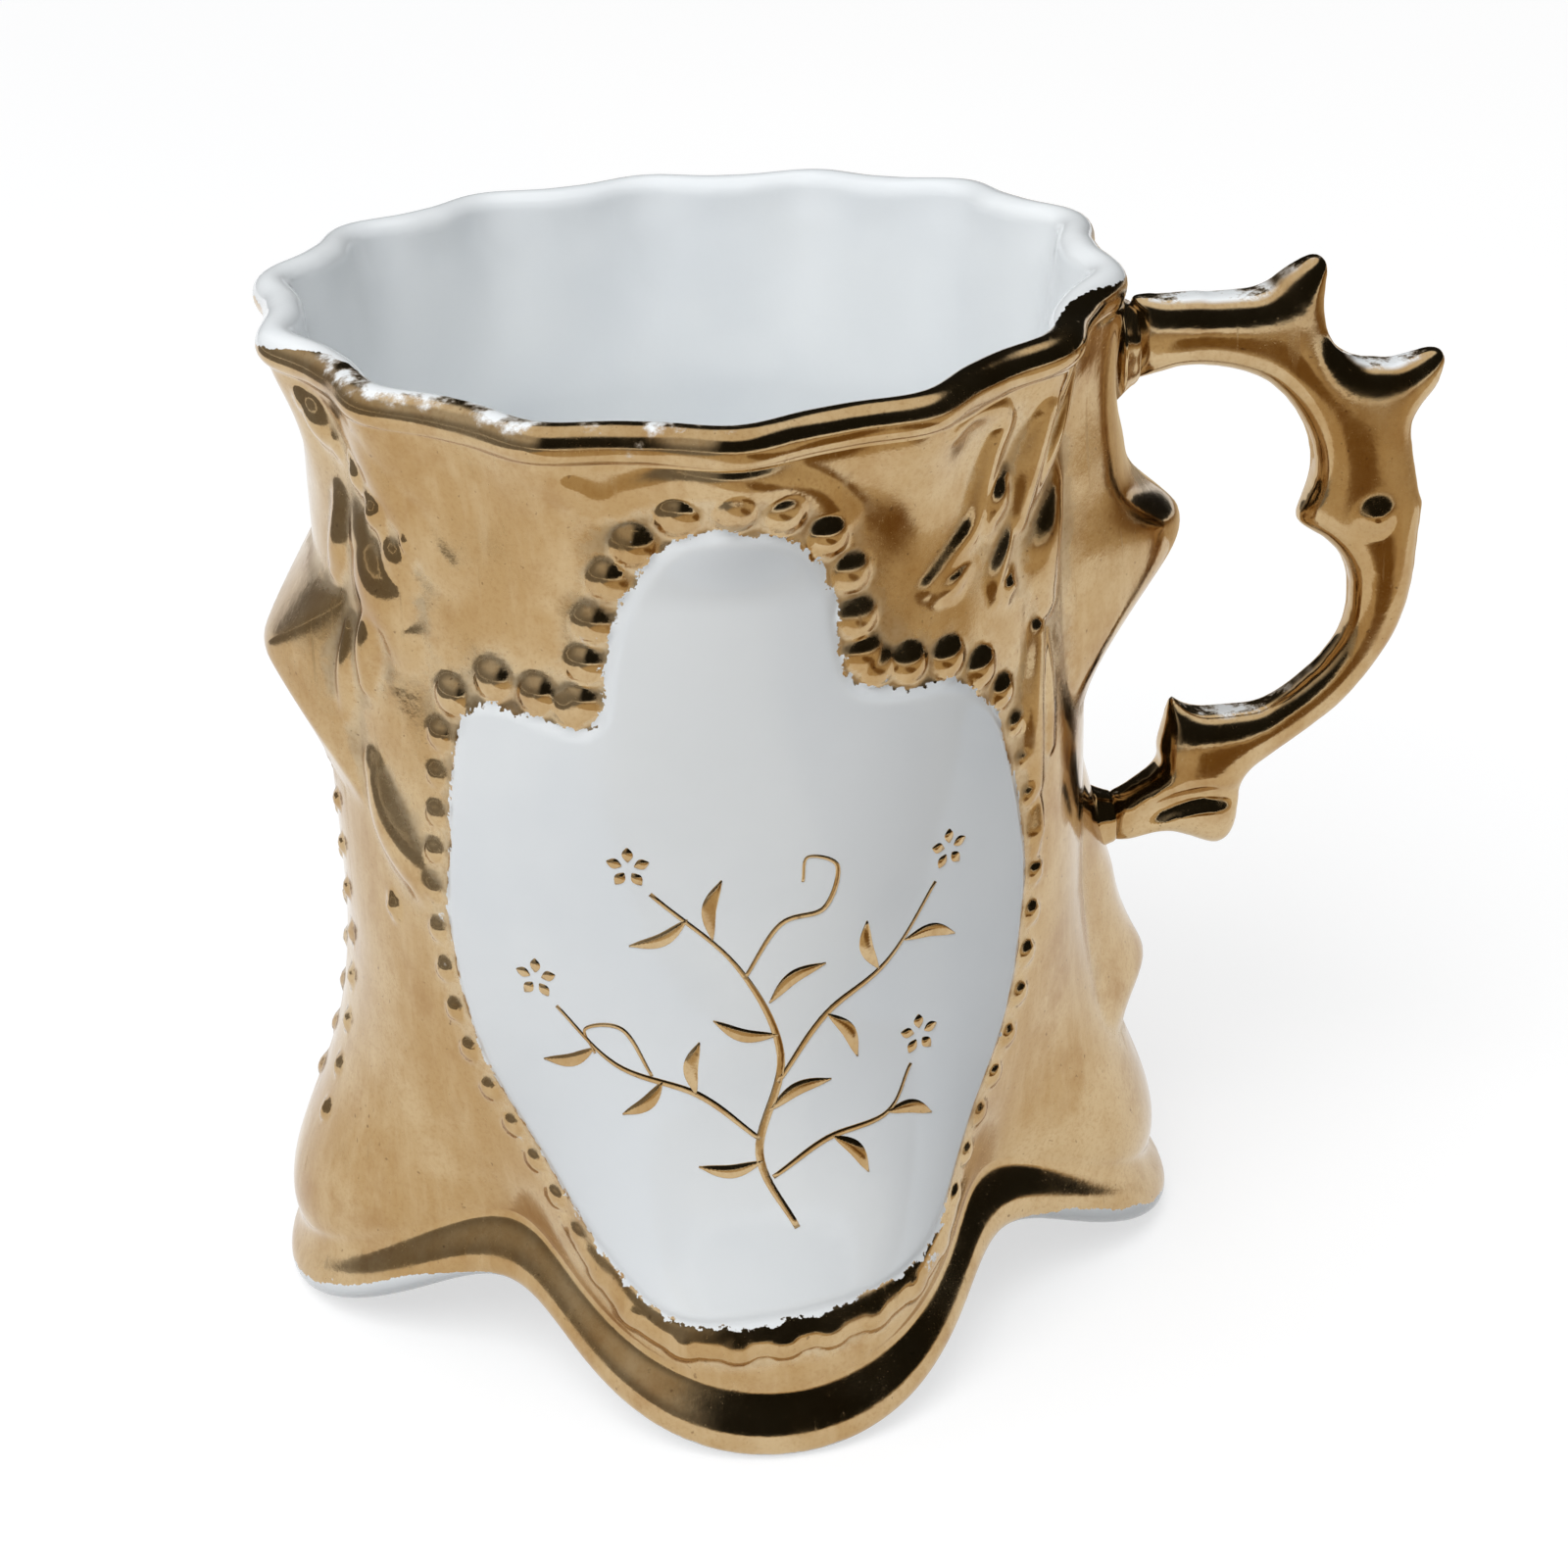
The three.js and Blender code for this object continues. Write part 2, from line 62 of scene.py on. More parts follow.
# Sizes in millimetres, measured from the cup's axis and the table. The handle is at 90 degrees and the
# front panel at 0, which faces -Y.
CUP_HEIGHT = 75.0
WALL_RADIUS = 27.4
WALL_THICKNESS = 2.6
RIM_RADIUS = 30.1
RIM_ROLL = 2.9
RIM_FLARE_HEIGHT = 13.0
RIM_SADDLE = 1.7
RIM_WAVE_COUNT = 14
RIM_WAVE_DEPTH = 0.65
INNER_WAVE = 0.6
FOOT_RADIUS = (cad_high[1] - cad_low[1]) / 2 / MM
FOOT_COUNT = 4
FOOT_BREADTH = 0.09
ARCH_RADIUS = 26.1
ARCH_HEIGHT = 7.3
LIP_HEIGHT = 2.6
LIP_WIDTH = 3.2
CAVETTO_DEPTH = 1.7
CAVETTO_HEIGHT = 2.6
FLARE_FOOT = 5.0
FLARE_TOP = 30.0
FLOOR_HEIGHT = 12.0
FLOOR_THICKNESS = 3.0
FLOOR_RADIUS = 12.0
SKIN_INSET = 0.1

# Bends of the lip, the hollow above it and the groove under the rim's roll, each as [out, up]
LIP_HEEL = 1.5
LIP_BULGE = [(0.25, 0.0), (0.15, 1.5)]
LIP_TOP_INSET = 0.4
HOLLOW_BEND = (-0.9, 1.0)
NECK_BEND = (0.15, 0.8)
RIM_GROOVE = (0.15, 0.1)
RIM_GROOVE_BEND = (0.7, 2.8)
ROLL_START = -0.25

# Mesh fineness of the body and of round things
COLUMNS = 42 * RIM_WAVE_COUNT
RING_STEP = 0.36
ROLL_STEPS = 16
ROUND_STEPS = 96

AXIS = Vector((cad_low[0] + FOOT_RADIUS * MM, 0.0, 0.0))


def smoothstep(low, high, value):
    """0 below low, 1 above high, and a smooth climb between them."""
    t = np.clip((value - low) / (high - low), 0.0, 1.0)
    return t * t * (3.0 - 2.0 * t)


def bezier(points, steps):
    """Points along a Bezier curve, without the first one."""
    t = np.linspace(0.0, 1.0, steps + 1)[1:, None]
    levels = [np.array(p, float)[None, :] for p in points]
    while len(levels) > 1:
        levels = [(1.0 - t) * a + t * b for a, b in zip(levels, levels[1:])]
    return levels[0]


def spline(points, steps):
    """Points along a Catmull-Rom curve through all the given points, ends included."""
    knots = np.array(points, float)
    ends = np.vstack([2 * knots[0] - knots[1], knots, 2 * knots[-1] - knots[-2]])
    t = np.linspace(0.0, 1.0, steps, endpoint=False)[:, None]
    pieces = []
    for p0, p1, p2, p3 in zip(ends, ends[1:], ends[2:], ends[3:]):
        bend = 2 * p0 - 5 * p1 + 4 * p2 - p3
        twist = 3 * p1 - p0 - 3 * p2 + p3
        pieces.append((2 * p1 + (p2 - p0) * t + bend * t ** 2 + twist * t ** 3) / 2)
    return np.vstack(pieces + [knots[-1:]])


def steps_for(length):
    return max(4, int(math.ceil(length / RING_STEP)))


def signed_turn(angle):
    """Degrees as a turn between -180 and 180."""
    return (angle + 180.0) % 360.0 - 180.0


def full_turn():
    """Angles of the points of a circle, in radians."""
    return np.arange(ROUND_STEPS) * 2 * math.pi / ROUND_STEPS


def hem_section(reach, base, lean, swell):
    """Section of the base from the lip's inner bottom edge up to the plain wall: a rolled lip, a
    hollow above it and the flare."""
    edge = np.array((reach, base))
    top = edge + (0.0, LIP_HEIGHT)
    start = edge - (LIP_WIDTH, 0.0)
    heel = edge - (LIP_HEEL, 0.0)
    lip_top = top - (LIP_TOP_INSET, 0.0)
    neck = top + (-CAVETTO_DEPTH, CAVETTO_HEIGHT)
    wall_foot = np.array((WALL_RADIUS, FLARE_TOP))
    ground = bezier([start, heel], 3)
    lip = bezier([heel, edge + LIP_BULGE[0], edge + LIP_BULGE[1], lip_top], 12)
    hollow = bezier([lip_top, top + HOLLOW_BEND, neck - NECK_BEND, neck], 10)
    flare = bezier([neck, neck + lean, wall_foot + (swell[0], -swell[1]), wall_foot],
                   steps_for(FLARE_TOP - FLARE_FOOT))
    return np.vstack([[start], ground, lip, hollow, flare])


def upper_section():
    """Section above the flare: wall, rim flare and the outer half of the rolled rim."""
    flare_foot = CUP_HEIGHT - RIM_FLARE_HEIGHT
    roll = RIM_ROLL / 2
    rim_foot = CUP_HEIGHT - roll
    wall = bezier([(WALL_RADIUS, FLARE_TOP), (WALL_RADIUS, flare_foot)], steps_for(flare_foot - FLARE_TOP))
    turn = np.linspace(ROLL_START, 1.0, ROLL_STEPS + 1)[:, None] * math.pi
    rolled = np.hstack([RIM_RADIUS - roll + roll * np.cos(turn), rim_foot + roll * np.sin(turn)])
    groove = rolled[0] - RIM_GROOVE
    flare = bezier([(WALL_RADIUS, flare_foot), (WALL_RADIUS, flare_foot + RIM_FLARE_HEIGHT / 2),
                    groove - RIM_GROOVE_BEND, groove], steps_for(RIM_FLARE_HEIGHT))
    return np.vstack([wall, flare, rolled])


def inner_section():
    """Section of the inside, from below the rim down to the axis."""
    bore = WALL_RADIUS - WALL_THICKNESS
    shoulder = (bore, CUP_HEIGHT - RIM_FLARE_HEIGHT - WALL_THICKNESS)
    rim_edge = (RIM_RADIUS - RIM_ROLL, CUP_HEIGHT - RIM_ROLL / 2)
    neck = bezier([rim_edge, (bore, shoulder[1] + RIM_ROLL), shoulder], 16)
    wall = bezier([shoulder, (bore, FLARE_TOP)], 12)
    bowl_mid = (bore - WALL_THICKNESS / 2, (FLARE_TOP + FLOOR_HEIGHT) / 2)
    bowl_low = ((bore + 2 * FLOOR_RADIUS) / 2 - WALL_THICKNESS, FLOOR_HEIGHT)
    bowl = bezier([(bore, FLARE_TOP), bowl_mid, bowl_low, (FLOOR_RADIUS, FLOOR_HEIGHT)], 16)
    floor = bezier([(FLOOR_RADIUS, FLOOR_HEIGHT), (1.0, FLOOR_HEIGHT)], 5)
    return np.vstack([neck, wall, bowl, floor])


def hollow_section(reach, base):
    """Section of the hollow under the floor, from near the axis out to the lip's inner edge."""
    ceiling = FLOOR_HEIGHT - FLOOR_THICKNESS
    edge = (reach - LIP_WIDTH - WALL_THICKNESS - (ceiling - base) / 2, ceiling)
    knee = (reach - LIP_WIDTH - WALL_THICKNESS / 2, (ceiling + base) / 2)
    top = bezier([(0.8, ceiling), (1.0, ceiling), edge], 5)
    side = bezier([edge, knee, (reach - LIP_WIDTH - 0.2, base + 0.4)], 5)
    return np.vstack([top, side])


# The front shield's outline: degrees round the cup and height, right half then left half, bottom to top
PANEL_RIGHT = [
    (0, 10.3), (16, 11.2), (26, 14), (35, 20.5), (42, 27), (46, 36), (45, 42), (41.5, 48.3), (37, 51.8),
    (30, 54), (20, 54.6), (15, 55.8), (13.3, 59), (12.2, 63), (7, 66.6), (-2, 67.8),
]
PANEL_LEFT = [
    (0, 10.3), (-14, 10.1), (-24, 14), (-34, 20), (-43, 27), (-47, 36), (-45.6, 45), (-44, 50.6),
    (-40.5, 53.8), (-34, 54.3), (-25, 53.2), (-20.8, 54), (-18.8, 58.4), (-15.5, 63), (-9, 66.9),
    (-2, 67.8),
]


def closed_outline(right, left):
    """A closed outline as millimetres round the wall and height."""
    up = spline(right, 6)
    down = spline(left, 6)[::-1]
    outline = np.vstack([up[:-1], down[:-1]])
    outline[:, 0] *= math.radians(1.0) * WALL_RADIUS
    return outline


FRONT_PANEL = closed_outline(PANEL_RIGHT, PANEL_LEFT)
BACK_PANEL = closed_outline([(-a, z) for a, z in PANEL_LEFT], [(-a, z) for a, z in PANEL_RIGHT])


def distance_to_path(across, height, path):
    """How far each point is from a polyline, and where along it the nearest place is, from 0 to 1."""
    best = np.full(across.shape, 1e9)
    place = np.zeros(across.shape)
    lengths = np.hypot(*np.diff(path, axis=0).T)
    run = np.concatenate([[0.0], np.cumsum(lengths)]) / lengths.sum()
    for i, (a, b) in enumerate(zip(path, path[1:])):
        step = b - a
        t = np.clip(((across - a[0]) * step[0] + (height - a[1]) * step[1]) / (step @ step), 0.0, 1.0)
        d = np.hypot(across - a[0] - t * step[0], height - a[1] - t * step[1])
        nearer = d < best
        best = np.where(nearer, d, best)
        place = np.where(nearer, run[i] + t * (run[i + 1] - run[i]), place)
    return best, place


def inside_outline(across, height, outline):
    """True where a point lies inside a closed outline."""
    odd = np.zeros(across.shape, bool)
    for (x0, z0), (x1, z1) in zip(outline, np.roll(outline, -1, axis=0)):
        if z0 == z1:
            continue
        crosses = (z0 > height) != (z1 > height)
        odd ^= crosses & (across < x0 + (height - z0) * (x1 - x0) / (z1 - z0))
    return odd


def signed_distance(across, height, outline):
    """Distance to a closed outline, negative inside it."""
    distance, _ = distance_to_path(across, height, np.vstack([outline, outline[:1]]))
    return np.where(inside_outline(across, height, outline), -distance, distance)


# How far ahead and behind a place the heading of an outline is taken
HEADING_SPAN = 0.8


def bead_centres(outline):
    """Places for the beads along a closed outline, just outside it."""
    loop = np.vstack([outline, outline[:1]])
    run = np.concatenate([[0.0], np.cumsum(np.hypot(*np.diff(loop, axis=0).T))])
    count = round(run[-1] / BEAD_PITCH)
    at = np.arange(count) * run[-1] / count

    def places(shift):
        return np.stack([np.interp((at + shift) % run[-1], run, loop[:, k]) for k in (0, 1)], 1)

    heading = places(HEADING_SPAN) - places(-HEADING_SPAN)
    heading /= np.linalg.norm(heading, axis=1)[:, None]
    return places(0.0) + BEAD_OFFSET * np.stack([heading[:, 1], -heading[:, 0]], 1)


# Beads round a panel, the roll under its foot, the swell of the wall over it and the rise of the panel.
# Pairs are the distances or heights between which a form fades in.
BEAD_RADIUS = 1.55
BEAD_RISE = 0.75
BEAD_OFFSET = 1.5
BEAD_PITCH = 2.9
BEAD_ROUNDNESS = 0.8
FLANK_FADE = 0.35
FLANK_BOTTOM = (11.0, 15.0)
FLANK_TOP = (53.0, 49.0)
FOOT_ROLL_RISE = 0.62
FOOT_ROLL_OFFSET = 1.15
FOOT_ROLL_HALF = 1.5
FOOT_ROLL_LEVELS = (15.5, 12.5)
DOME_RISE = 0.6
DOME_REACH = (5.0, 0.6)
DOME_LEVELS = (62.0, 67.0)
PANEL_RISE = 0.5
PANEL_EDGE = (0.5, -0.9)
MOULDING_EDGE = (-0.6, 0.3)

# Leaf work on the left and the right of a panel, as strokes of (degrees, height), with half width and rise
LEAVES_LEFT = [
    ([(70.5, 70.4), (65.5, 68.8)], 1.7, 1.0),
    ([(60.7, 68.2), (58.9, 66.7)], 1.3, 0.7),
    ([(56.7, 66.4), (54.4, 64.9)], 1.5, 1.0),
    ([(54.5, 64.2), (51, 61.8)], 1.5, 0.8),
    ([(49.8, 65.2), (49.4, 63.5)], 0.9, 0.6),
    ([(60.4, 63), (57.1, 60), (54.3, 57.6)], 3.4, 1.25),
    ([(59.7, 58.5), (62.6, 52.8)], 1.7, 1.1),
    ([(66.4, 56.1), (69.2, 49.3)], 1.4, 1.0),
    ([(68, 64.6), (68.5, 62.4), (70.9, 60)], 1.8, 0.8),
    ([(62.6, 46), (58.8, 42.2), (53.1, 39.2)], 2.5, 1.15),
    ([(61.7, 36.2), (61, 35.2)], 1.0, 0.5),
    ([(58.2, 53), (54.9, 49), (52.3, 45)], 4.5, 0.2),
    ([(59.5, 70), (53.3, 67.6), (47, 65), (42.5, 63.4)], 2.2, 0.4),
    ([(44, 70), (35, 66), (29.8, 62), (26.7, 59.5)], 5.0, 0.35),
]
LEAVES_RIGHT = [
    ([(30.3, 71.6), (34.1, 72), (39, 71.4), (41, 70.2), (39.7, 68.4), (38, 66.3), (36.2, 64.2),
      (32.4, 62.7), (27.5, 60.8)], 1.1, 0.5),
    ([(42, 66.3), (39.1, 64.1)], 1.4, 0.8),
    ([(43.7, 62.6), (40.6, 60), (40.6, 58.2)], 0.9, 0.55),
    ([(43.3, 59.4), (42.7, 58.2)], 1.2, 0.6),
    ([(49.3, 69.5), (47.2, 66.6), (46, 63.4)], 1.7, 1.0),
    ([(60.5, 70), (57.6, 68.6), (53.1, 66.7), (48.8, 64.2)], 1.2, 0.75),
    ([(57.8, 63.6), (53, 60.2), (54.1, 56.4)], 2.5, 1.15),
    ([(50.9, 54.2), (49, 49), (49.8, 43)], 1.6, 1.0),
    ([(53.2, 53), (54.9, 45)], 1.2, 0.6),
    ([(50, 41.6), (49.2, 38)], 1.0, 0.6),
    ([(33.9, 61.2), (29.3, 60.2)], 1.2, 0.5),
]

# The low ridge over the top of a panel
BROW = [
    (-21.5, 70.3), (-18, 69.5), (-13.4, 70.3), (-9, 71), (-4, 71.2), (1, 71), (6, 70.5), (10.5, 69.5),
    (15, 67.4),
]
BROW_WIDTH = 1.5
BROW_RISE = 0.42

# Bead rows down the side away from the handle, below the thorn
SIDE_BEAD_SIZE = 0.85
SIDE_BEAD_ANGLE = 83.0
SIDE_BEADS = np.linspace(43.5, 15.0, 9)

# Side thorns and the leaf tail under the handle
FIN = dict(side=90.0, reach=8.4, root=41.5, tip=54.3, blunt=2.0, top=62.8, web=3.6, climb=2.1, fall=2.6,
           flank=10.4, spread=31.0, hollow=1.3, rounding=2.3)
THORN = dict(side=-86.0, reach=4.1, root=42.0, tip=51.6, blunt=1.0, top=58.6, web=0.0, climb=1.2, fall=1.1,
             flank=4.8, spread=19.0, hollow=1.0, rounding=0.3)
TAIL = dict(side=90.0, reach=4.2, root=14.0, tip=19.6, blunt=1.4, top=27.4, web=2.8, climb=2.0, fall=2.0,
            flank=5.0, spread=19.0, hollow=1.5, rounding=1.8)
WEB_FADE = 12.0
TIP_ROUNDING = 0.35


def thorn_rise(height, reach, root, tip, blunt, top, web, climb, fall, **_):
    """How far a thorn stands out at a height: a hollow slope to its rounded tip, and a concave top edge."""
    level = np.arange(-2.0, CUP_HEIGHT + 4.0, 0.1)
    up = reach * np.clip((level - root) / (tip - root), 0.0, 1.0) ** climb
    down = web + (reach - web) * np.clip((top - level) / (top - tip - blunt), 0.0, 1.0) ** fall
    fade = web * np.clip(1.0 - (level - top) / WEB_FADE, 0.0, 1.0)
    profile = np.where(level < tip, up, np.where(level < top, down, fade))
    kernel = np.exp(-(np.arange(-2.0, 2.05, 0.1) / (TIP_ROUNDING * blunt)) ** 2 / 2.0)
    return np.interp(height, level, np.convolve(profile, kernel / kernel.sum(), "same"))


def flank_rise(angle, side, flank, spread, hollow, **_):
    """How high the two sides of a thorn stand at an angle: slightly hollow slopes up to a ridge."""
    turn = np.abs(signed_turn(angle - side))
    return flank * np.clip(1.0 - turn / spread, 0.0, 1.0) ** hollow


def thorn_work(angle, height, thorn):
    """A thorn: its sides, cut off by its top and bottom edges, with the edges between them rounded."""
    edge = thorn_rise(height, **thorn)
    sides = flank_rise(angle, **thorn)
    lower = (edge + sides - np.hypot(edge - sides, thorn["rounding"])) / 2.0
    return np.maximum(lower, 0.0)


def stroke_rise(across, height, path, width, rise):
    """A rounded ridge along a path, thinner towards both ends."""
    path = spline(path, 5)
    path[:, 0] *= math.radians(1.0) * WALL_RADIUS
    distance, place = distance_to_path(across, height, path)
    swell = np.sin(math.pi * place)
    reach = width * (1.0 + 0.35 * swell)
    return rise * (0.55 + 0.45 * swell) * np.clip(1.0 - (distance / reach) ** 2, 0.0, 1.0) ** 2


def bead_rise(across, height, centres, size=1.0):
    """Round beads on a field of points, smaller along the flanks of the panel than above and below it."""
    rise = np.zeros(across.shape)
    for x, z in centres:
        flank = smoothstep(*FLANK_BOTTOM, z) * smoothstep(*FLANK_TOP, z)
        radius = BEAD_RADIUS * size * (1.0 - FLANK_FADE * flank)
        near = 1.0 - ((across - x) ** 2 + (height - z) ** 2) / radius ** 2
        tall = BEAD_RISE * radius / BEAD_RADIUS
        rise = np.maximum(rise, tall * np.clip(near, 0.0, 1.0) ** BEAD_ROUNDNESS)
    return rise


def foot_border(panel, height):
    """The border under the panel: a low roll along the outline, whose lower edge the beads scallop."""
    across = 1.0 - ((panel - FOOT_ROLL_OFFSET) / FOOT_ROLL_HALF) ** 2
    fade = smoothstep(*FOOT_ROLL_LEVELS, height)
    return FOOT_ROLL_RISE * np.clip(across, 0.0, 1.0) ** BEAD_ROUNDNESS * fade


def dome_swell(panel, height):
    """The wall swells a little towards the border round the top of the panel."""
    return DOME_RISE * smoothstep(*DOME_REACH, panel) * smoothstep(*DOME_LEVELS, height)


def soft_largest(rises):
    """The largest of several rises, with a soft valley where two of them meet."""
    return sum(np.maximum(rise, 0.0) ** 3 for rise in rises) ** (1.0 / 3.0)


# Waves of the wall's unevenness: rise, count round the cup, climb and start
WOBBLES = [(0.10, 3, 9.0, 0.0), (0.07, 7, -5.5, 1.3), (0.05, 11, 3.7, 0.4), (0.05, 5, 4.3, 2.1)]


def hand_wobble(angle, height):
    """The slight unevenness of a slip casting, in millimetres."""
    a = np.radians(angle)
    return sum(rise * np.sin(count * a + height / climb + start) for rise, count, climb, start in WOBBLES)


def relief(angle, height):
    """How far the moulded work stands out of the plain wall, and the distance to the nearest panel."""
    side = np.abs(signed_turn(angle))
    at_front = side < 90.0
    across_front = np.radians(signed_turn(angle)) * WALL_RADIUS
    across_back = np.radians((angle % 360.0) - 180.0) * WALL_RADIUS
    across = np.where(at_front, across_front, across_back)
    quarter = np.radians(np.where(at_front, side, 180.0 - side)) * WALL_RADIUS
    panel = np.where(at_front, signed_distance(across, height, FRONT_PANEL),
                     signed_distance(across, height, BACK_PANEL))
    pad = PANEL_RISE * smoothstep(*PANEL_EDGE, panel)
    beads = np.where(at_front, bead_rise(across, height, bead_centres(FRONT_PANEL)),
                     bead_rise(across, height, bead_centres(BACK_PANEL)))
    side_row = [(math.radians(SIDE_BEAD_ANGLE) * WALL_RADIUS, z) for z in SIDE_BEADS]
    far_side = (angle % 360.0) > 180.0
    beads = np.maximum(beads, np.where(far_side, bead_rise(quarter, height, side_row, SIDE_BEAD_SIZE), 0.0))
    beads = np.maximum(beads, foot_border(panel, height))
    brow = stroke_rise(across, height, BROW, BROW_WIDTH, BROW_RISE)
    left = soft_largest([stroke_rise(quarter, height, *stroke) for stroke in LEAVES_LEFT])
    right = soft_largest([stroke_rise(quarter, height, *stroke) for stroke in LEAVES_RIGHT])
    leaves = np.where(far_side, left, right)
    moulding = soft_largest([beads, brow, leaves]) * smoothstep(*MOULDING_EDGE, panel)
    thorns = np.max([thorn_work(angle, height, thorn) for thorn in (FIN, THORN, TAIL)], axis=0)
    return soft_largest([moulding + pad + dome_swell(panel, height), thorns]), panel


def arch_share(angle):
    """Share of the way from a foot to the middle of an arch at an angle."""
    turn = FOOT_COUNT * np.radians(angle)
    return (1.0 - np.cos(turn)) / 2.0 - FOOT_BREADTH * (1.0 - np.cos(2.0 * turn)) / 2.0


def rim_share(height):
    return smoothstep(CUP_HEIGHT - RIM_FLARE_HEIGHT, CUP_HEIGHT - RIM_ROLL, height)


def rim_wave(angle, height):
    """Outward waves of the rim, a little pointed at their tips."""
    crest = ((1.0 + np.cos(RIM_WAVE_COUNT * np.radians(angle))) / 2.0) ** 1.4
    return rim_share(height) * RIM_WAVE_DEPTH * (2.0 * crest - 1.0)


def rim_rise(angle, height):
    """Gentle rise of the rim at the two sides."""
    saddle = RIM_SADDLE * (1.0 - np.cos(2.0 * np.radians(angle))) / 2.0
    return rim_share(height) * saddle


def placed(r, angle, height):
    """Points in the shared frame, in metres, from radius, angle and height."""
    a = np.radians(angle)
    return np.stack([AXIS.x + r * np.sin(a) * MM, -r * np.cos(a) * MM, height * MM], -1)


def new_object(name, points, faces, attributes=()):
    """A smooth-shaded mesh object with named numbers on its points."""
    mesh = bpy.data.meshes.new(name)
    mesh.from_pydata(points.tolist(), [], faces)
    mesh.polygons.foreach_set("use_smooth", [True] * len(mesh.polygons))
    for label, values in attributes:
        mesh.attributes.new(label, "FLOAT", "POINT").data.foreach_set("value", values.astype(np.float32))
    mesh.update()
    obj = bpy.data.objects.new(name, mesh)
    bpy.context.scene.collection.objects.link(obj)
    return obj


def grid_faces(rings, columns):
    """Quads of a closed band of rings, with both end rings capped."""
    faces = []
    for j in range(rings - 1):
        for i in range(columns):
            k = (i + 1) % columns
            faces.append((j * columns + i, j * columns + k, (j + 1) * columns + k, (j + 1) * columns + i))
    faces.append(tuple(reversed(range(columns))))
    faces.append(tuple((rings - 1) * columns + i for i in range(columns)))
    return faces


# How much steadier the gilder's hand was along the rim than round the panel, and how much of the rim's
# roll and of the hem the gilder left white at the sides and the back
RIM_EDGE_STEADINESS = 2.5
SIDE_RIM_BARE = 2.9
SIDE_RIM_TURN = (50.0, 82.0)
SIDE_HEM_BARE = 1.0
SIDE_HEM_TURN = (48.0, 62.0)

# Which points of the section the gilding starts and ends at and wears most at, counted from the section's
# first outer point and back from its first inner one
GILT_START = 7
GILT_END = 5
CREST = 7

# Wear of the rim's crest: its least, and where round the cup hands rub it most
RUBBED_LEAST = 0.45
RUBBED_ANGLE = 318.0
RUBBED_SPREAD = 26.0

# The wall swells above the two side feet
SIDE_FOOT_SWELL = 0.8
SIDE_FOOT_LEVEL = 9.0
SIDE_FOOT_SPAN = 8.0
SIDE_FOOT_TURN = (0.6, 1.0)

# How the flare leaves the lip and meets the wall, over a foot and over an arch, and where relief fades out
# above the lip and below the rim
FOOT_LEAN, FOOT_SWELL = (1.0, 4.5), (0.6, 14.0)
ARCH_LEAN, ARCH_SWELL = (0.6, 2.2), (-0.2, 10.0)
HEM_FADE = 3.0
RIM_FADE = (3.2, 1.6)


def blurred(field, rings, columns):
    """A field of rings and columns, averaged twice over a small window. The columns run round the cup."""
    for _ in range(2):
        field = sum(np.roll(field, k, 1) for k in range(-columns, columns + 1)) / (2 * columns + 1)
        tall = np.pad(field, ((rings, rings), (0, 0)), "edge")
        field = sum(tall[k:k + len(field)] for k in range(2 * rings + 1)) / (2 * rings + 1)
    return field


# Reach of the window that finds the hollows of the relief, about 1.5 mm each way
HOLLOW_RINGS = 4
HOLLOW_COLUMNS = 5


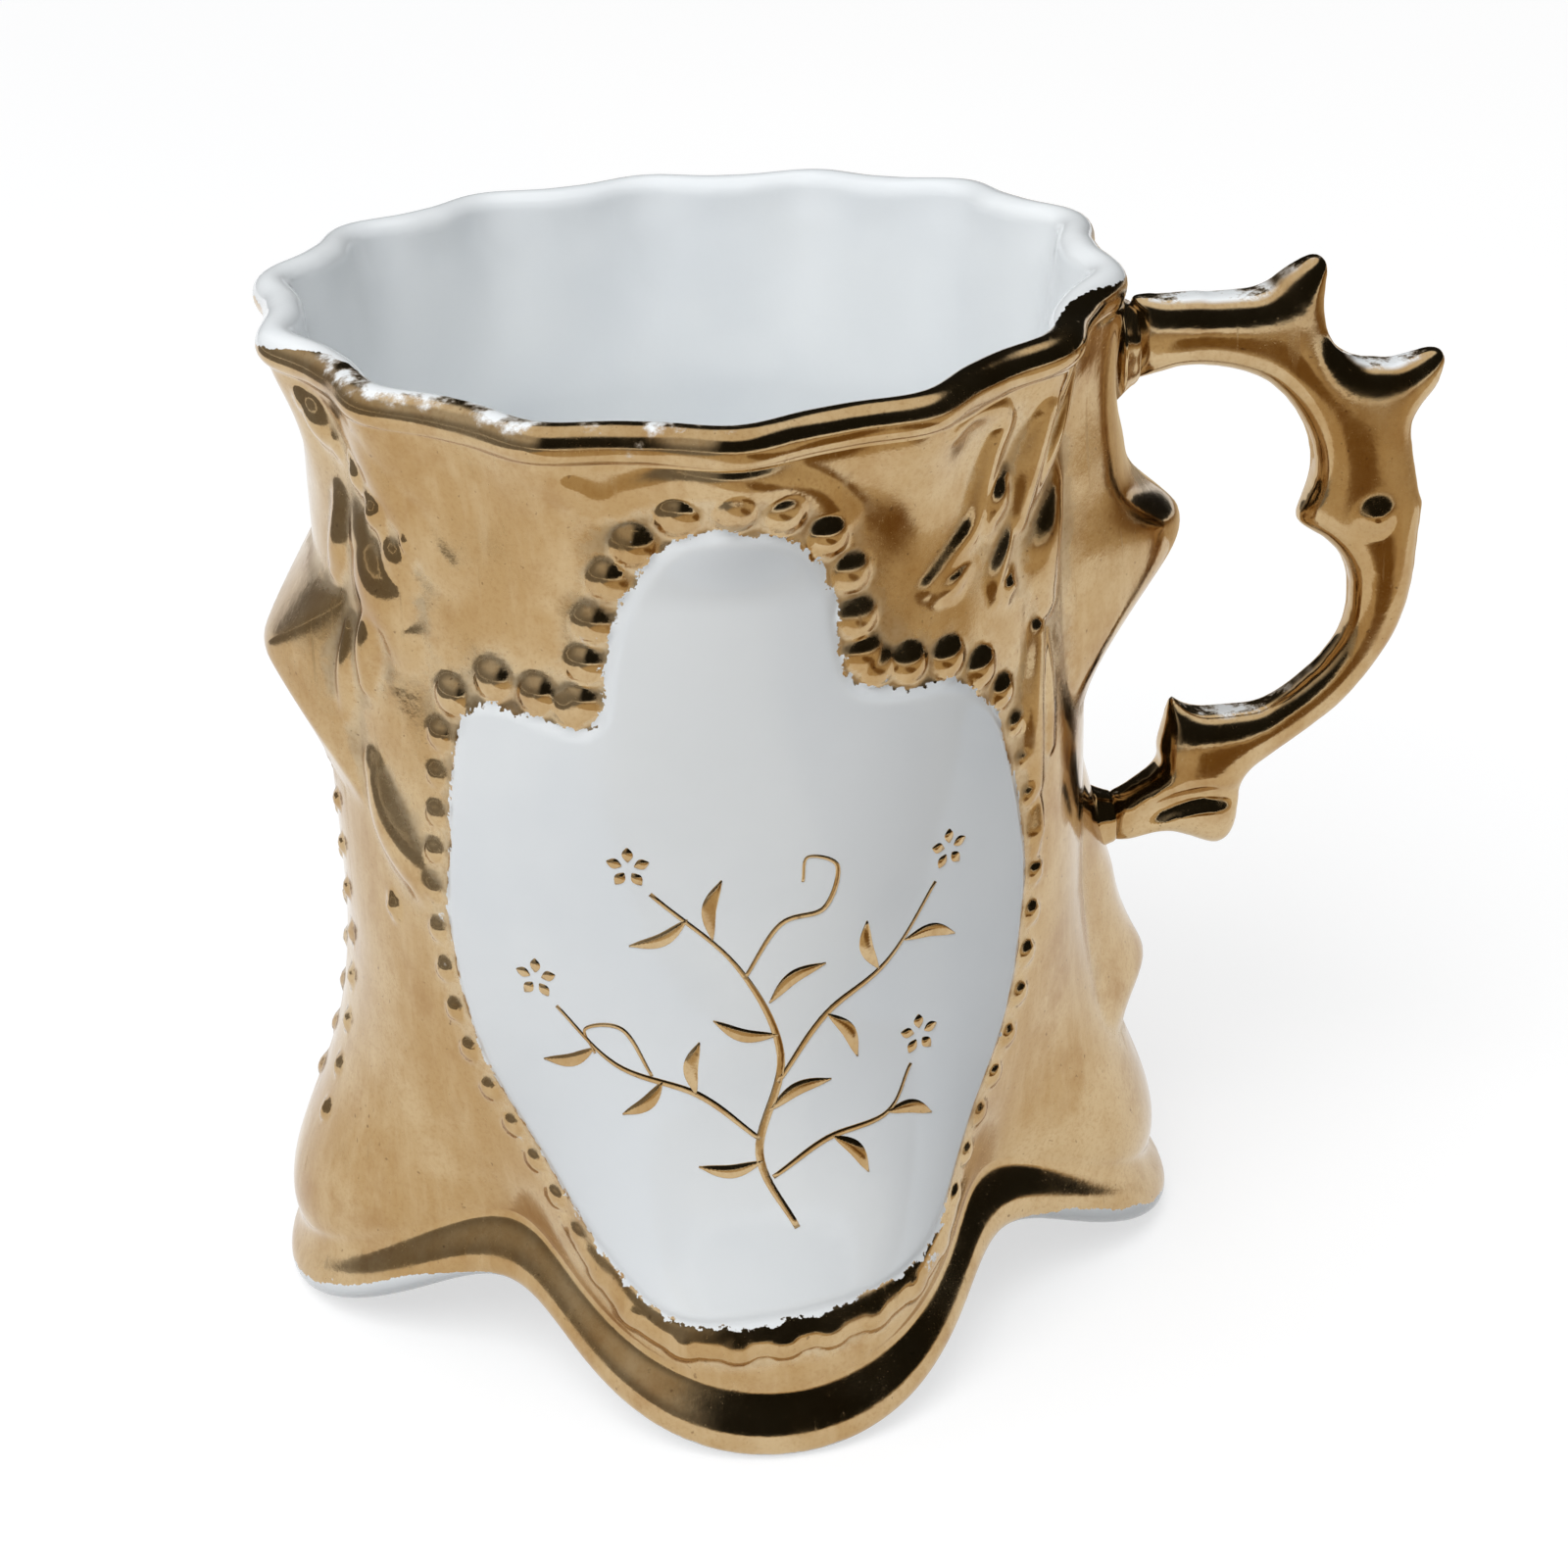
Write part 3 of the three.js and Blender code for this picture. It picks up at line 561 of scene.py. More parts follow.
def build_body():
    """The whole casting as one closed skin: hollow, hem, wall, rim and inside."""
    upper, inner = upper_section(), inner_section()
    foot_hem = hem_section(FOOT_RADIUS - SKIN_INSET, 0.0, FOOT_LEAN, FOOT_SWELL)
    arch_hem = hem_section(ARCH_RADIUS, ARCH_HEIGHT, ARCH_LEAN, ARCH_SWELL)
    foot_hollow = hollow_section(FOOT_RADIUS, 0.0)
    arch_hollow = hollow_section(ARCH_RADIUS, ARCH_HEIGHT)
    over_foot = np.vstack([foot_hollow, foot_hem, upper, inner])
    over_arch = np.vstack([arch_hollow, arch_hem, upper, inner])
    rings = len(over_foot)
    first_outer = len(foot_hollow)
    first_inner = rings - len(inner)

    angle = np.arange(COLUMNS) * 360.0 / COLUMNS
    share = arch_share(angle)[None, :, None]
    section = over_foot[:, None, :] * (1.0 - share) + over_arch[:, None, :] * share
    r, z = section[..., 0], section[..., 1]
    angle = np.broadcast_to(angle, r.shape)
    outer = np.zeros(r.shape, bool)
    outer[first_outer:first_inner] = True

    work, panel = relief(angle, z)
    hem_clear = smoothstep(LIP_HEIGHT, LIP_HEIGHT + HEM_FADE, z - ARCH_HEIGHT * arch_share(angle))
    rim_clear = 1.0 - smoothstep(CUP_HEIGHT - RIM_FADE[0], CUP_HEIGHT - RIM_FADE[1], z)
    wobble = hand_wobble(angle, z) * hem_clear * rim_clear
    swell = SIDE_FOOT_SWELL * smoothstep(*SIDE_FOOT_TURN, np.abs(np.sin(np.radians(angle))))
    swell = swell * hem_clear * np.exp(-((z - SIDE_FOOT_LEVEL) / SIDE_FOOT_SPAN) ** 2)
    r = r + np.where(outer, swell, 0.0)
    inside = np.arange(rings)[:, None] >= first_inner
    r = r + rim_wave(angle, z) * np.where(inside, INNER_WAVE, 1.0)
    r = r + np.where(outer, work * hem_clear * rim_clear + wobble, 0.0)
    z_up = z + rim_rise(angle, z)

    run = np.concatenate([[0.0], np.cumsum(np.hypot(*np.diff(over_foot, axis=0).T))])
    aside = np.abs(signed_turn(angle))
    low_edge = run[first_outer + GILT_START] + SIDE_HEM_BARE * smoothstep(*SIDE_HEM_TURN, aside)
    high_edge = run[first_inner - GILT_END] - SIDE_RIM_BARE * smoothstep(*SIDE_RIM_TURN, aside)
    gilt = RIM_EDGE_STEADINESS * np.minimum(run[:, None] - low_edge, high_edge - run[:, None])
    gilt = np.where(outer, np.minimum(gilt, panel), np.minimum(gilt, -1.0))

    crest = np.exp(-((run[:, None] - run[first_inner - CREST]) / RIM_ROLL) ** 2)
    handled = np.exp(-((angle - RUBBED_ANGLE) / RUBBED_SPREAD) ** 2)
    rubbed = crest * (RUBBED_LEAST + (1.0 - RUBBED_LEAST) * handled)
    hollow = np.where(outer, np.clip(blurred(work, HOLLOW_RINGS, HOLLOW_COLUMNS) - work, 0.0, 1.0), 0.0)

    points = placed(r, angle, z_up).reshape(-1, 3)
    marks = [("gilt", gilt.ravel()), ("rubbed", rubbed.ravel()), ("hollow", hollow.ravel())]
    return new_object("cup_body_skin", points, grid_faces(rings, COLUMNS), marks)


# The handle's outline in the plane y = 0, as distance from the axis and height: the outer edge from the
# upper root to the lower one, then the inner edge back up
HANDLE_OUTER = [
    (34.5, 71.95), (37, 71.85), (40, 71.8), (41.5, 72.1), (43, 73.2), (44.4, 74), (45.3, 74.1),
    (45.95, 73.3), (45.7, 71.2), (45.8, 69.1), (46.5, 67.4), (48, 66.25), (49.6, 65.9), (51.2, 65.85),
    (52.7, 66.25), (54.05, 66.5), (54.75, 65.9), (54.6, 64.8), (54.1, 63.6), (53.1, 62.5), (52.35, 61.4),
    (52.25, 60.3),
    (52.6, 58), (53, 55.6), (53.25, 54.8), (53, 52.4), (52.7, 49), (52, 46), (50.8, 43.5), (49, 41),
    (47, 38.9), (44, 36.8), (42, 35.5), (40.4, 34.4), (39.8, 33.2), (39.7, 31.6), (39.5, 30.2), (39, 29.1),
    (38.1, 28.6), (37, 28.9), (35.8, 29.5), (34.5, 30), (33.2, 30), (31.8, 29.6),
]
HANDLE_INNER = [
    (30.8, 33.6), (31.8, 34.2), (33, 34.9), (33.7, 35.7), (33.5, 36.7), (33.8, 38.1), (34.1, 39.2),
    (34.3, 40.5), (34.8, 40.8), (35.6, 40.1), (37, 39.6), (39, 39.5), (41, 39.6), (42.5, 40.2), (44, 41.2),
    (45.5, 42.5), (46.8, 44), (47.6, 45.6), (47.9, 47.5), (47.8, 49.5), (47.2, 51), (46, 52.5),
    (44.6, 53.4), (43.8, 54.2), (44.4, 55.7), (44.9, 57), (45, 58.5), (44.8, 60.2), (44, 62), (43, 63.5),
    (41.5, 65), (39.5, 66), (37.5, 66.5), (35.5, 66.7), (34, 66.4),
]
UPPER_ROOT_EDGES = (72.1, 65.7)
LOWER_ROOT_EDGES = (29.4, 33.4)

# A round boss on the handle's face, as distance from the axis, height, radius and rise, and the groove in
# the face of its lower arm
HANDLE_BOSS = (49.3, 54.6, 1.7, 0.7)
HANDLE_GROOVE = [(31.2, 30.6), (33.6, 32.4), (36.4, 33.2), (39.6, 32.8)]
HANDLE_GROOVE_HALF = 1.1
HANDLE_GROOVE_DEPTH = 0.8
HANDLE_LEAST = 0.1

# Fineness of the handle's skin, how far it swells and how long it settles
HANDLE_CELL = 0.15
HANDLE_FULLNESS = 3.3
HANDLE_VOXEL = 0.24 * MM
HANDLE_SMOOTHING = 16
SETTLING_ROUNDS = 1500

# Slip collars: how far the handle's roots reach into them, and their size from the wall to the handle
SLIP_OVERLAP = 0.4
SLIP_PROFILE = [(0.0, 1.0), (0.2, 0.94), (0.45, 0.86), (0.7, 0.79), (0.9, 0.75), (1.0, 0.70)]


def swollen(inside, cell):
    """Square of the half depth that a flat shape gets when it swells like a cushion: a long strip of it
    becomes a round bar. Each point settles to the mean of its neighbours plus a steady push."""
    level = np.zeros(inside.shape)
    for _ in range(SETTLING_ROUNDS):
        mean = (level[2:, 1:-1] + level[:-2, 1:-1] + level[1:-1, 2:] + level[1:-1, :-2]) / 4.0
        level[1:-1, 1:-1] = np.where(inside[1:-1, 1:-1], mean + cell ** 2 / 2.0, 0.0)
    return level


def double_skin(xs, zs, depth):
    """Front and back skins over the cells of a grid that have depth, closed along their edge."""
    used = depth > 0.0
    index = np.where(used, np.cumsum(used).reshape(used.shape) - 1, -1)
    count = int(used.sum())
    x, z, y = xs[used], zs[used], depth[used]
    front = np.stack([AXIS.x + x * MM, -y * MM, z * MM], -1)
    back = front * (1.0, -1.0, 1.0)
    a, b, c, d = index[:-1, :-1], index[1:, :-1], index[1:, 1:], index[:-1, 1:]
    full = (a >= 0) & (b >= 0) & (c >= 0) & (d >= 0)
    quads = np.stack([a[full], b[full], c[full], d[full]], -1)
    edges = np.concatenate([quads[:, [k, (k + 1) % 4]] for k in range(4)])
    seen = set(map(tuple, edges.tolist()))
    rim = [(i, j) for i, j in seen if (j, i) not in seen]
    faces = quads.tolist() + (quads[:, ::-1] + count).tolist()
    faces += [(j, i, i + count, j + count) for i, j in rim]
    return np.vstack([front, back]), faces


def slip_face(node):
    """How far from the axis the outer face of a collar of slip stands."""
    return (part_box(node)[1][0] - AXIS.x) / MM


def handle_outline():
    upper = slip_face("upper_handle_slip") - SLIP_OVERLAP
    lower = slip_face("lower_handle_slip") - SLIP_OVERLAP
    outer = [(upper, UPPER_ROOT_EDGES[0])] + HANDLE_OUTER + [(lower, LOWER_ROOT_EDGES[0])]
    inner = [(lower, LOWER_ROOT_EDGES[1])] + HANDLE_INNER + [(upper, UPPER_ROOT_EDGES[1])]
    return np.vstack([spline(outer, 4), spline(inner, 4)])


def apply_modifiers(obj):
    """Replaces an object's mesh by what its modifiers make of it."""
    depsgraph = bpy.context.evaluated_depsgraph_get()
    result = bpy.data.meshes.new_from_object(obj.evaluated_get(depsgraph))
    obj.modifiers.clear()
    obj.data = result
    result.polygons.foreach_set("use_smooth", [True] * len(result.polygons))


def build_handle():
    """The branch and its spurs, swollen from their outline and smoothed into one casting."""
    outline = handle_outline()
    low, high = outline.min(0) - 1.0, outline.max(0) + 1.0
    xs, zs = np.meshgrid(*[np.arange(a, b, HANDLE_CELL) for a, b in zip(low, high)], indexing="ij")
    half = np.sqrt(swollen(inside_outline(xs, zs, outline), HANDLE_CELL))
    depth = HANDLE_FULLNESS * np.tanh(half / HANDLE_FULLNESS)
    x, z, radius, rise = HANDLE_BOSS
    near = np.clip(1.0 - ((xs - x) ** 2 + (zs - z) ** 2) / radius ** 2, 0.0, 1.0)
    apart, along = distance_to_path(xs, zs, spline(HANDLE_GROOVE, 6))
    fading = np.sin(math.pi * along) ** 0.5
    groove = fading * np.clip(1.0 - (apart / HANDLE_GROOVE_HALF) ** 2, 0.0, 1.0)
    carved = depth + rise * near ** 1.5 - HANDLE_GROOVE_DEPTH * groove
    depth = np.where(depth > 0.0, np.maximum(carved, HANDLE_LEAST * depth), 0.0)
    obj = new_object("handle_skin", *double_skin(xs, zs, depth))
    melt = obj.modifiers.new("melt", "REMESH")
    melt.mode = "VOXEL"
    melt.voxel_size = HANDLE_VOXEL
    soften = obj.modifiers.new("soften", "SMOOTH")
    soften.factor = 0.5
    soften.iterations = HANDLE_SMOOTHING
    apply_modifiers(obj)
    return obj


def build_slip(node, name):
    """A collar of luting slip, wiped into a fillet from the wall to the handle, a little uneven."""
    low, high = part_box(node)
    middle_z = (low[2] + high[2]) / 2
    radius_z = (high[2] - low[2]) / 2
    radius_y = (high[1] - low[1]) / 2
    turn = full_turn()
    uneven = 0.94 + 0.03 * np.sin(3 * turn + 0.5) + 0.025 * np.sin(7 * turn)
    rings = []
    for depth, size in SLIP_PROFILE:
        x = low[0] + (high[0] - low[0]) * depth
        rings.append(np.stack([np.full(ROUND_STEPS, x), radius_y * size * uneven * np.cos(turn),
                               middle_z + radius_z * size * uneven * np.sin(turn)], -1))
    return new_object(name, np.vstack(rings), grid_faces(len(rings), ROUND_STEPS))


# A plain gilt sprig on the front panel, as millimetres round the wall and height: stems with their half
# width, leaves as (foot, tip), and five-petalled blossoms
SPRIG_STEMS = [
    ([(1.5, 16.5), (-0.6, 22), (1.2, 29), (-1.5, 36), (-7, 41.5)], 0.36),
    ([(0.9, 27), (4.5, 31.5), (9, 34.5), (13, 39.5)], 0.30),
    ([(-0.5, 23), (-4.5, 26.5), (-10, 28.5), (-14, 32.5)], 0.30),
    ([(0.2, 20.2), (4, 22.4), (8.5, 23.2), (10.6, 26.2)], 0.28),
    ([(-1, 35), (1.6, 38.8), (4.6, 39.6), (5.6, 42.6), (3.6, 43.6), (3.2, 41.8)], 0.24),
    ([(-7.5, 27.8), (-9.4, 31.2), (-12, 31), (-11.4, 29.2)], 0.2),
]
SPRIG_LEAVES = [
    ((-0.4, 21.4), (-4.6, 21.2)), ((0.2, 25), (4.6, 26.6)), ((1.1, 30.5), (-3.2, 32)),
    ((0.6, 33), (4.6, 35.4)), ((-3, 38), (-2.2, 42.4)), ((-4.6, 39.6), (-8.6, 37.6)),
    ((4.6, 31.5), (6.6, 27.8)), ((8.4, 34.1), (7.6, 38)), ((10.4, 35.8), (14.6, 35)),
    ((-4.6, 26.5), (-4.2, 30.4)), ((-6.8, 27.4), (-9.6, 24.8)),
    ((-11.4, 29.6), (-15.2, 28.2)), ((4.4, 22.5), (6.6, 19.4)), ((8.4, 23.2), (12, 22)),
]
SPRIG_BLOSSOMS = [(-8.4, 43.4), (14.2, 41.6), (-15.4, 34.4), (11.4, 28.2)]
LEAF_HALF = 0.62
LEAF_BOW = 0.12
PETAL_COUNT = 5
PETAL_TURN = 0.3
PETAL_START = 0.45
PETAL_LENGTH = 1.5
PETAL_HALF = 0.48

# Section of a stroke of gilding: shares of its half width, with the height over the panel
GILT_RISE = 0.05
GILT_SINK = 0.10
GILT_SECTION = [(-1.0, -GILT_SINK), (1.0, -GILT_SINK), (0.7, GILT_RISE), (-0.7, GILT_RISE)]


def merged(parts):
    """Several point and face lists as one."""
    points, faces, start = [], [], 0
    for part_points, part_faces in parts:
        points.append(part_points)
        faces += [tuple(start + i for i in face) for face in part_faces]
        start += len(part_points)
    return np.vstack(points), faces


def gilt_stroke(surface, path, half, swell):
    """A flat stroke of gilding laid on a surface. With swell it is a leaf, widest in the middle, and
    without it a stem, thinner towards its end."""
    place = np.linspace(0.0, 1.0, len(path))
    leaf = np.sin(math.pi * np.clip(place, 0.02, 0.98)) ** 0.8
    stem = 0.55 + 0.45 * np.sin(math.pi * np.clip(1.15 * place + 0.1, 0.0, 1.0))
    width = half * (leaf if swell else stem)
    heading = np.gradient(path, axis=0)
    heading /= np.linalg.norm(heading, axis=1)[:, None]
    sideways = np.stack([-heading[:, 1], heading[:, 0]], 1) * width[:, None]
    rings = []
    for here, side in zip(path, sideways):
        rings.append([surface(*(here + share * side), lift) for share, lift in GILT_SECTION])
    return np.array(rings).reshape(-1, 3), grid_faces(len(path), len(GILT_SECTION))


def build_sprig(body):
    """The gilt sprig, laid on the front panel of the finished body."""
    corners = [vertex.co for vertex in body.data.vertices]
    tree = BVHTree.FromPolygons(corners, [face.vertices for face in body.data.polygons])

    def surface(across, height, lift):
        angle = across / WALL_RADIUS
        out = Vector((math.sin(angle), -math.cos(angle), 0.0))
        start = AXIS + out * FOOT_RADIUS * 2 * MM + Vector((0.0, 0.0, height * MM))
        hit = tree.ray_cast(start, -out)[0]
        return hit + out * lift * MM

    strokes = [(spline(path, 10), half, False) for path, half in SPRIG_STEMS]
    for foot, tip in SPRIG_LEAVES:
        foot, tip = np.array(foot), np.array(tip)
        bow = np.array((foot[1] - tip[1], tip[0] - foot[0])) * LEAF_BOW
        strokes.append((spline([foot, (foot + tip) / 2 + bow, tip], 8), LEAF_HALF, True))
    for middle in SPRIG_BLOSSOMS:
        for k in range(PETAL_COUNT):
            turn = 2 * math.pi * k / PETAL_COUNT + PETAL_TURN
            way = np.array((math.cos(turn), math.sin(turn)))
            petal = spline([middle + PETAL_START * way, middle + PETAL_LENGTH * way], 10)
            strokes.append((petal, PETAL_HALF, True))
    return new_object("panel_sprig", *merged([gilt_stroke(surface, *stroke) for stroke in strokes]))


def link(tree, source, target):
    tree.links.new(source, target)


def set_or_link(tree, socket, value):
    if hasattr(value, "is_output"):
        link(tree, value, socket)
    else:
        socket.default_value = value


def add(tree, kind, **settings):
    """A node with its settings; a name that is an input socket sets that socket."""
    node = tree.nodes.new(kind)
    for key, value in settings.items():
        if key in node.inputs:
            node.inputs[key].default_value = value
        else:
            setattr(node, key, value)
    return node


def split(tree, vector):
    """The X, Y and Z of a vector."""
    parts = add(tree, "ShaderNodeSeparateXYZ")
    link(tree, vector, parts.inputs[0])
    return parts.outputs


def noise(tree, scale, detail=3.0, roughness=0.5, stretch=None):
    """Noise over the object's own coordinates; scale is in waves per metre."""
    coords = add(tree, "ShaderNodeTexCoord")
    texture = add(tree, "ShaderNodeTexNoise", Scale=scale, Detail=detail, Roughness=roughness)
    source = coords.outputs["Object"]
    if stretch:
        mapping = add(tree, "ShaderNodeMapping", Scale=stretch)
        link(tree, source, mapping.inputs["Vector"])
        source = mapping.outputs["Vector"]
    link(tree, source, texture.inputs["Vector"])
    return texture.outputs["Fac"]


def math_node(tree, operation, a, b):
    node = add(tree, "ShaderNodeMath", operation=operation)
    for socket, value in zip(node.inputs, (a, b)):
        set_or_link(tree, socket, value)
    return node.outputs[0]


def remap(tree, value, low, high, new_low=0.0, new_high=1.0):
    """A smooth climb of a value from one range to another, level outside it."""
    node = add(tree, "ShaderNodeMapRange", interpolation_type="SMOOTHSTEP")
    link(tree, value, node.inputs["Value"])
    limits = zip(("From Min", "From Max", "To Min", "To Max"), (low, high, new_low, new_high))
    for name, number in limits:
        node.inputs[name].default_value = number
    return node.outputs["Result"]


def mix_color(tree, factor, a, b):
    node = add(tree, "ShaderNodeMix", data_type="RGBA")
    set_or_link(tree, node.inputs["Factor"], factor)
    colors = [socket for socket in node.inputs if socket.type == "RGBA"]
    for socket, value in zip(colors, (a, b)):
        set_or_link(tree, socket, value)
    return [socket for socket in node.outputs if socket.type == "RGBA"][0]


LUSTRE = (0.46, 0.30, 0.135, 1.0)
LUSTRE_PALE = (0.57, 0.42, 0.235, 1.0)
LUSTRE_RED = (0.36, 0.20, 0.075, 1.0)
LUSTRE_HAZE = (0.68, 0.56, 0.38, 1.0)
LUSTRE_DARK = (0.16, 0.085, 0.035, 1.0)
GLAZE = (0.86, 0.885, 0.895, 1.0)
GLAZE_GREY = (0.81, 0.84, 0.86, 1.0)


def lustre_color(tree, hollow):
    """Gold lustre that turns paler and redder in soft clouds, with brush marks, stains and fine specks.
    The hollows of the relief keep a pale haze, where polishing doesn't reach."""
    clouds = remap(tree, noise(tree, 95.0, 4.0, 0.6), 0.38, 0.64)
    brushed = remap(tree, noise(tree, 480.0, 4.0, 0.65, (1.0, 1.0, 0.22)), 0.42, 0.75)
    stains = remap(tree, noise(tree, 170.0, 5.0, 0.65), 0.5, 0.74)
    specks = remap(tree, noise(tree, 1900.0, 2.0, 0.5), 0.7, 0.76)
    grain = remap(tree, noise(tree, 3000.0, 3.0, 0.6), 0.45, 0.7)
    layers = [
        (hollow, 0.6, LUSTRE_HAZE), (grain, 0.3, LUSTRE_RED), (brushed, 0.6, LUSTRE_PALE),
        (stains, 0.6, LUSTRE_RED), (specks, 0.55, LUSTRE_DARK),
    ]
    base = mix_color(tree, clouds, LUSTRE, LUSTRE_PALE)
    for share, strength, color in layers:
        base = mix_color(tree, math_node(tree, "MULTIPLY", share, strength), base, color)
    return base


def lustre_roughness(tree, hollow):
    """Polished film with worn haze, fine specks and hairline scratches, dull in the hollows."""
    haze = remap(tree, noise(tree, 140.0, 5.0, 0.6), 0.4, 0.75, 0.10, 0.24)
    haze = math_node(tree, "ADD", haze, math_node(tree, "MULTIPLY", hollow, 0.25))
    specks = remap(tree, noise(tree, 5200.0, 2.0), 0.62, 0.75, 0.0, 0.14)
    scratches = remap(tree, noise(tree, 900.0, 2.0, 0.5, (1.0, 1.0, 0.06)), 0.66, 0.72, 0.0, 0.12)
    return math_node(tree, "ADD", math_node(tree, "ADD", haze, specks), scratches)


def finish_surface(tree, shader, bump_scale):
    """Fine unevenness of the glaze under the film."""
    bump = add(tree, "ShaderNodeBump", Strength=0.3, Distance=0.00008)
    link(tree, noise(tree, bump_scale, 4.0, 0.6), bump.inputs["Height"])
    link(tree, bump.outputs["Normal"], shader.inputs["Normal"])


def new_material(name):
    material = bpy.data.materials.new(name)
    material.use_nodes = True
    tree = material.node_tree
    tree.nodes.clear()
    shader = add(tree, "ShaderNodeBsdfPrincipled")
    output = add(tree, "ShaderNodeOutputMaterial")
    link(tree, shader.outputs["BSDF"], output.inputs["Surface"])
    return material, tree, shader


def hollows(tree):
    """How deep in a hollow of the relief a point is, from 0 to 1, with an uneven edge."""
    depth = add(tree, "ShaderNodeAttribute", attribute_name="hollow").outputs["Fac"]
    uneven = remap(tree, noise(tree, 700.0, 4.0, 0.6), 0.3, 0.7, 0.6, 1.4)
    return remap(tree, math_node(tree, "MULTIPLY", depth, uneven), 0.02, 0.26)


def dress(tree, shader, gilded):
    """Sets gold lustre where gilded is 1 and white glaze where it is 0."""
    hollow = hollows(tree)
    glaze = mix_color(tree, remap(tree, noise(tree, 60.0, 3.0), 0.4, 0.7), GLAZE, GLAZE_GREY)
    link(tree, mix_color(tree, gilded, glaze, lustre_color(tree, hollow)), shader.inputs["Base Color"])
    link(tree, gilded, shader.inputs["Metallic"])
    glaze_rough = remap(tree, noise(tree, 300.0, 2.0), 0.3, 0.7, 0.05, 0.09)
    spread = math_node(tree, "SUBTRACT", lustre_roughness(tree, hollow), glaze_rough)
    rough = math_node(tree, "ADD", glaze_rough, math_node(tree, "MULTIPLY", spread, gilded))
    link(tree, rough, shader.inputs["Roughness"])
    finish_surface(tree, shader, 420.0)


def body_material():
    """White glaze, gilded where the brush went: a feathery edge, and wear near the edges of the gilding."""
    material, tree, shader = new_material("lustred_porcelain")
    gilt = add(tree, "ShaderNodeAttribute", attribute_name="gilt").outputs["Fac"]
    bristles = remap(tree, noise(tree, 1500.0, 3.0, 0.6), 0.3, 0.7, -0.28, 0.28)
    hand = remap(tree, noise(tree, 330.0, 2.0), 0.3, 0.7, -0.3, 0.3)
    edge = math_node(tree, "ADD", math_node(tree, "ADD", gilt, bristles), hand)
    painted = remap(tree, edge, -0.04, 0.04)
    specks = math_node(tree, "MULTIPLY", remap(tree, noise(tree, 420.0, 6.0, 0.7), 0.66, 0.7),
                       remap(tree, gilt, 2.6, 0.3))
    handled = add(tree, "ShaderNodeAttribute", attribute_name="rubbed").outputs["Fac"]
    handled = math_node(tree, "MULTIPLY", handled, 0.42)
    patches = math_node(tree, "ADD", noise(tree, 230.0, 6.0, 0.65), handled)
    worn = math_node(tree, "MAXIMUM", specks, remap(tree, patches, 0.77, 0.90))
    gilded = math_node(tree, "MULTIPLY", painted, math_node(tree, "SUBTRACT", 1.0, worn))
    dress(tree, shader, gilded)
    return material


def handle_material(name, wear):
    """Gold lustre, rubbed through to the white glaze in patches on what faces up: wear, and a painted
    reflection of the bright sky.
    """
    material, tree, shader = new_material(name)
    facing = split(tree, add(tree, "ShaderNodeNewGeometry").outputs["Normal"])
    # What faces up turns white: real wear, and also a painted reflection of the bright sky on the tops
    upward_wear_and_sheen = remap(tree, facing["Z"], 0.72, 0.95)
    patches = remap(tree, noise(tree, 170.0, 6.0, 0.7), 0.62 - wear, 0.72 - wear)
    worn = math_node(tree, "MULTIPLY", upward_wear_and_sheen, patches)
    dress(tree, shader, math_node(tree, "SUBTRACT", 1.0, worn))
    return material


body = build_body()
body.data.materials.append(body_material())
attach(body, "root")
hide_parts("cup_body")

handle = build_handle()
handle.data.materials.append(handle_material("lustred_handle", 0.18))
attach(handle, "root")
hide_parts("handle")

slip_material = handle_material("lustred_slip", 0.0)
for node in ("upper_handle_slip", "lower_handle_slip"):
    slip = build_slip(node, node + "_collar")
    slip.data.materials.append(slip_material)
    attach(slip, "root")
    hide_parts(node)

sprig = build_sprig(body)
sprig.data.materials.append(handle_material("gilt_sprig", 0.0))
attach(sprig, "root")


WHITE = (1.0, 1.0, 1.0, 1.0)
BLACK = (0.0, 0.0, 0.0, 1.0)
FLOOR_LIFT = 0.63
FLOOR_TONES = [(0.42, 0.42, 0.42, 1.0), (0.44, 0.44, 0.44, 1.0)]


def seeing_ray(tree):
    """1 for a ray that shows a thing to the camera, straight or in a mirror image, and 0 for the light."""
    ray = add(tree, "ShaderNodeLightPath")
    shiny = math_node(tree, "MAXIMUM", ray.outputs["Is Glossy Ray"], ray.outputs["Is Transmission Ray"])
    return math_node(tree, "MAXIMUM", ray.outputs["Is Camera Ray"], shiny)


def floor_material():
    """A white sheet, lifted a little for the eye so that it meets the white backdrop."""
    material, tree, shader = new_material("pale_floor")
    tone = mix_color(tree, noise(tree, 9.0, 2.0), *FLOOR_TONES)
    link(tree, tone, shader.inputs["Base Color"])
    shader.inputs["Roughness"].default_value = 0.9
    shader.inputs["Specular IOR Level"].default_value = 0.1
    shader.inputs["Emission Color"].default_value = WHITE
    lift = math_node(tree, "MULTIPLY", seeing_ray(tree), FLOOR_LIFT)
    link(tree, lift, shader.inputs["Emission Strength"])
    return material


def stage_piece(name, points, faces, material):
    obj = new_object(name, points, faces)
    obj.data.materials.append(material)
    return obj


def band(name, rings, material):
    """A closed band of rings of points about the cup that belongs to the stage."""
    return stage_piece(name, np.vstack(rings), grid_faces(len(rings), len(rings[0]))[:-2], material)


def circle(radius, height):
    turn = full_turn()
    return np.stack([radius * np.cos(turn), radius * np.sin(turn), np.full(ROUND_STEPS, height)], -1)


# The floor lies a hair below the feet
band("table_top", [circle(r, -0.00005) for r in (0.0005, 0.2, 0.8, 2.5)], floor_material())
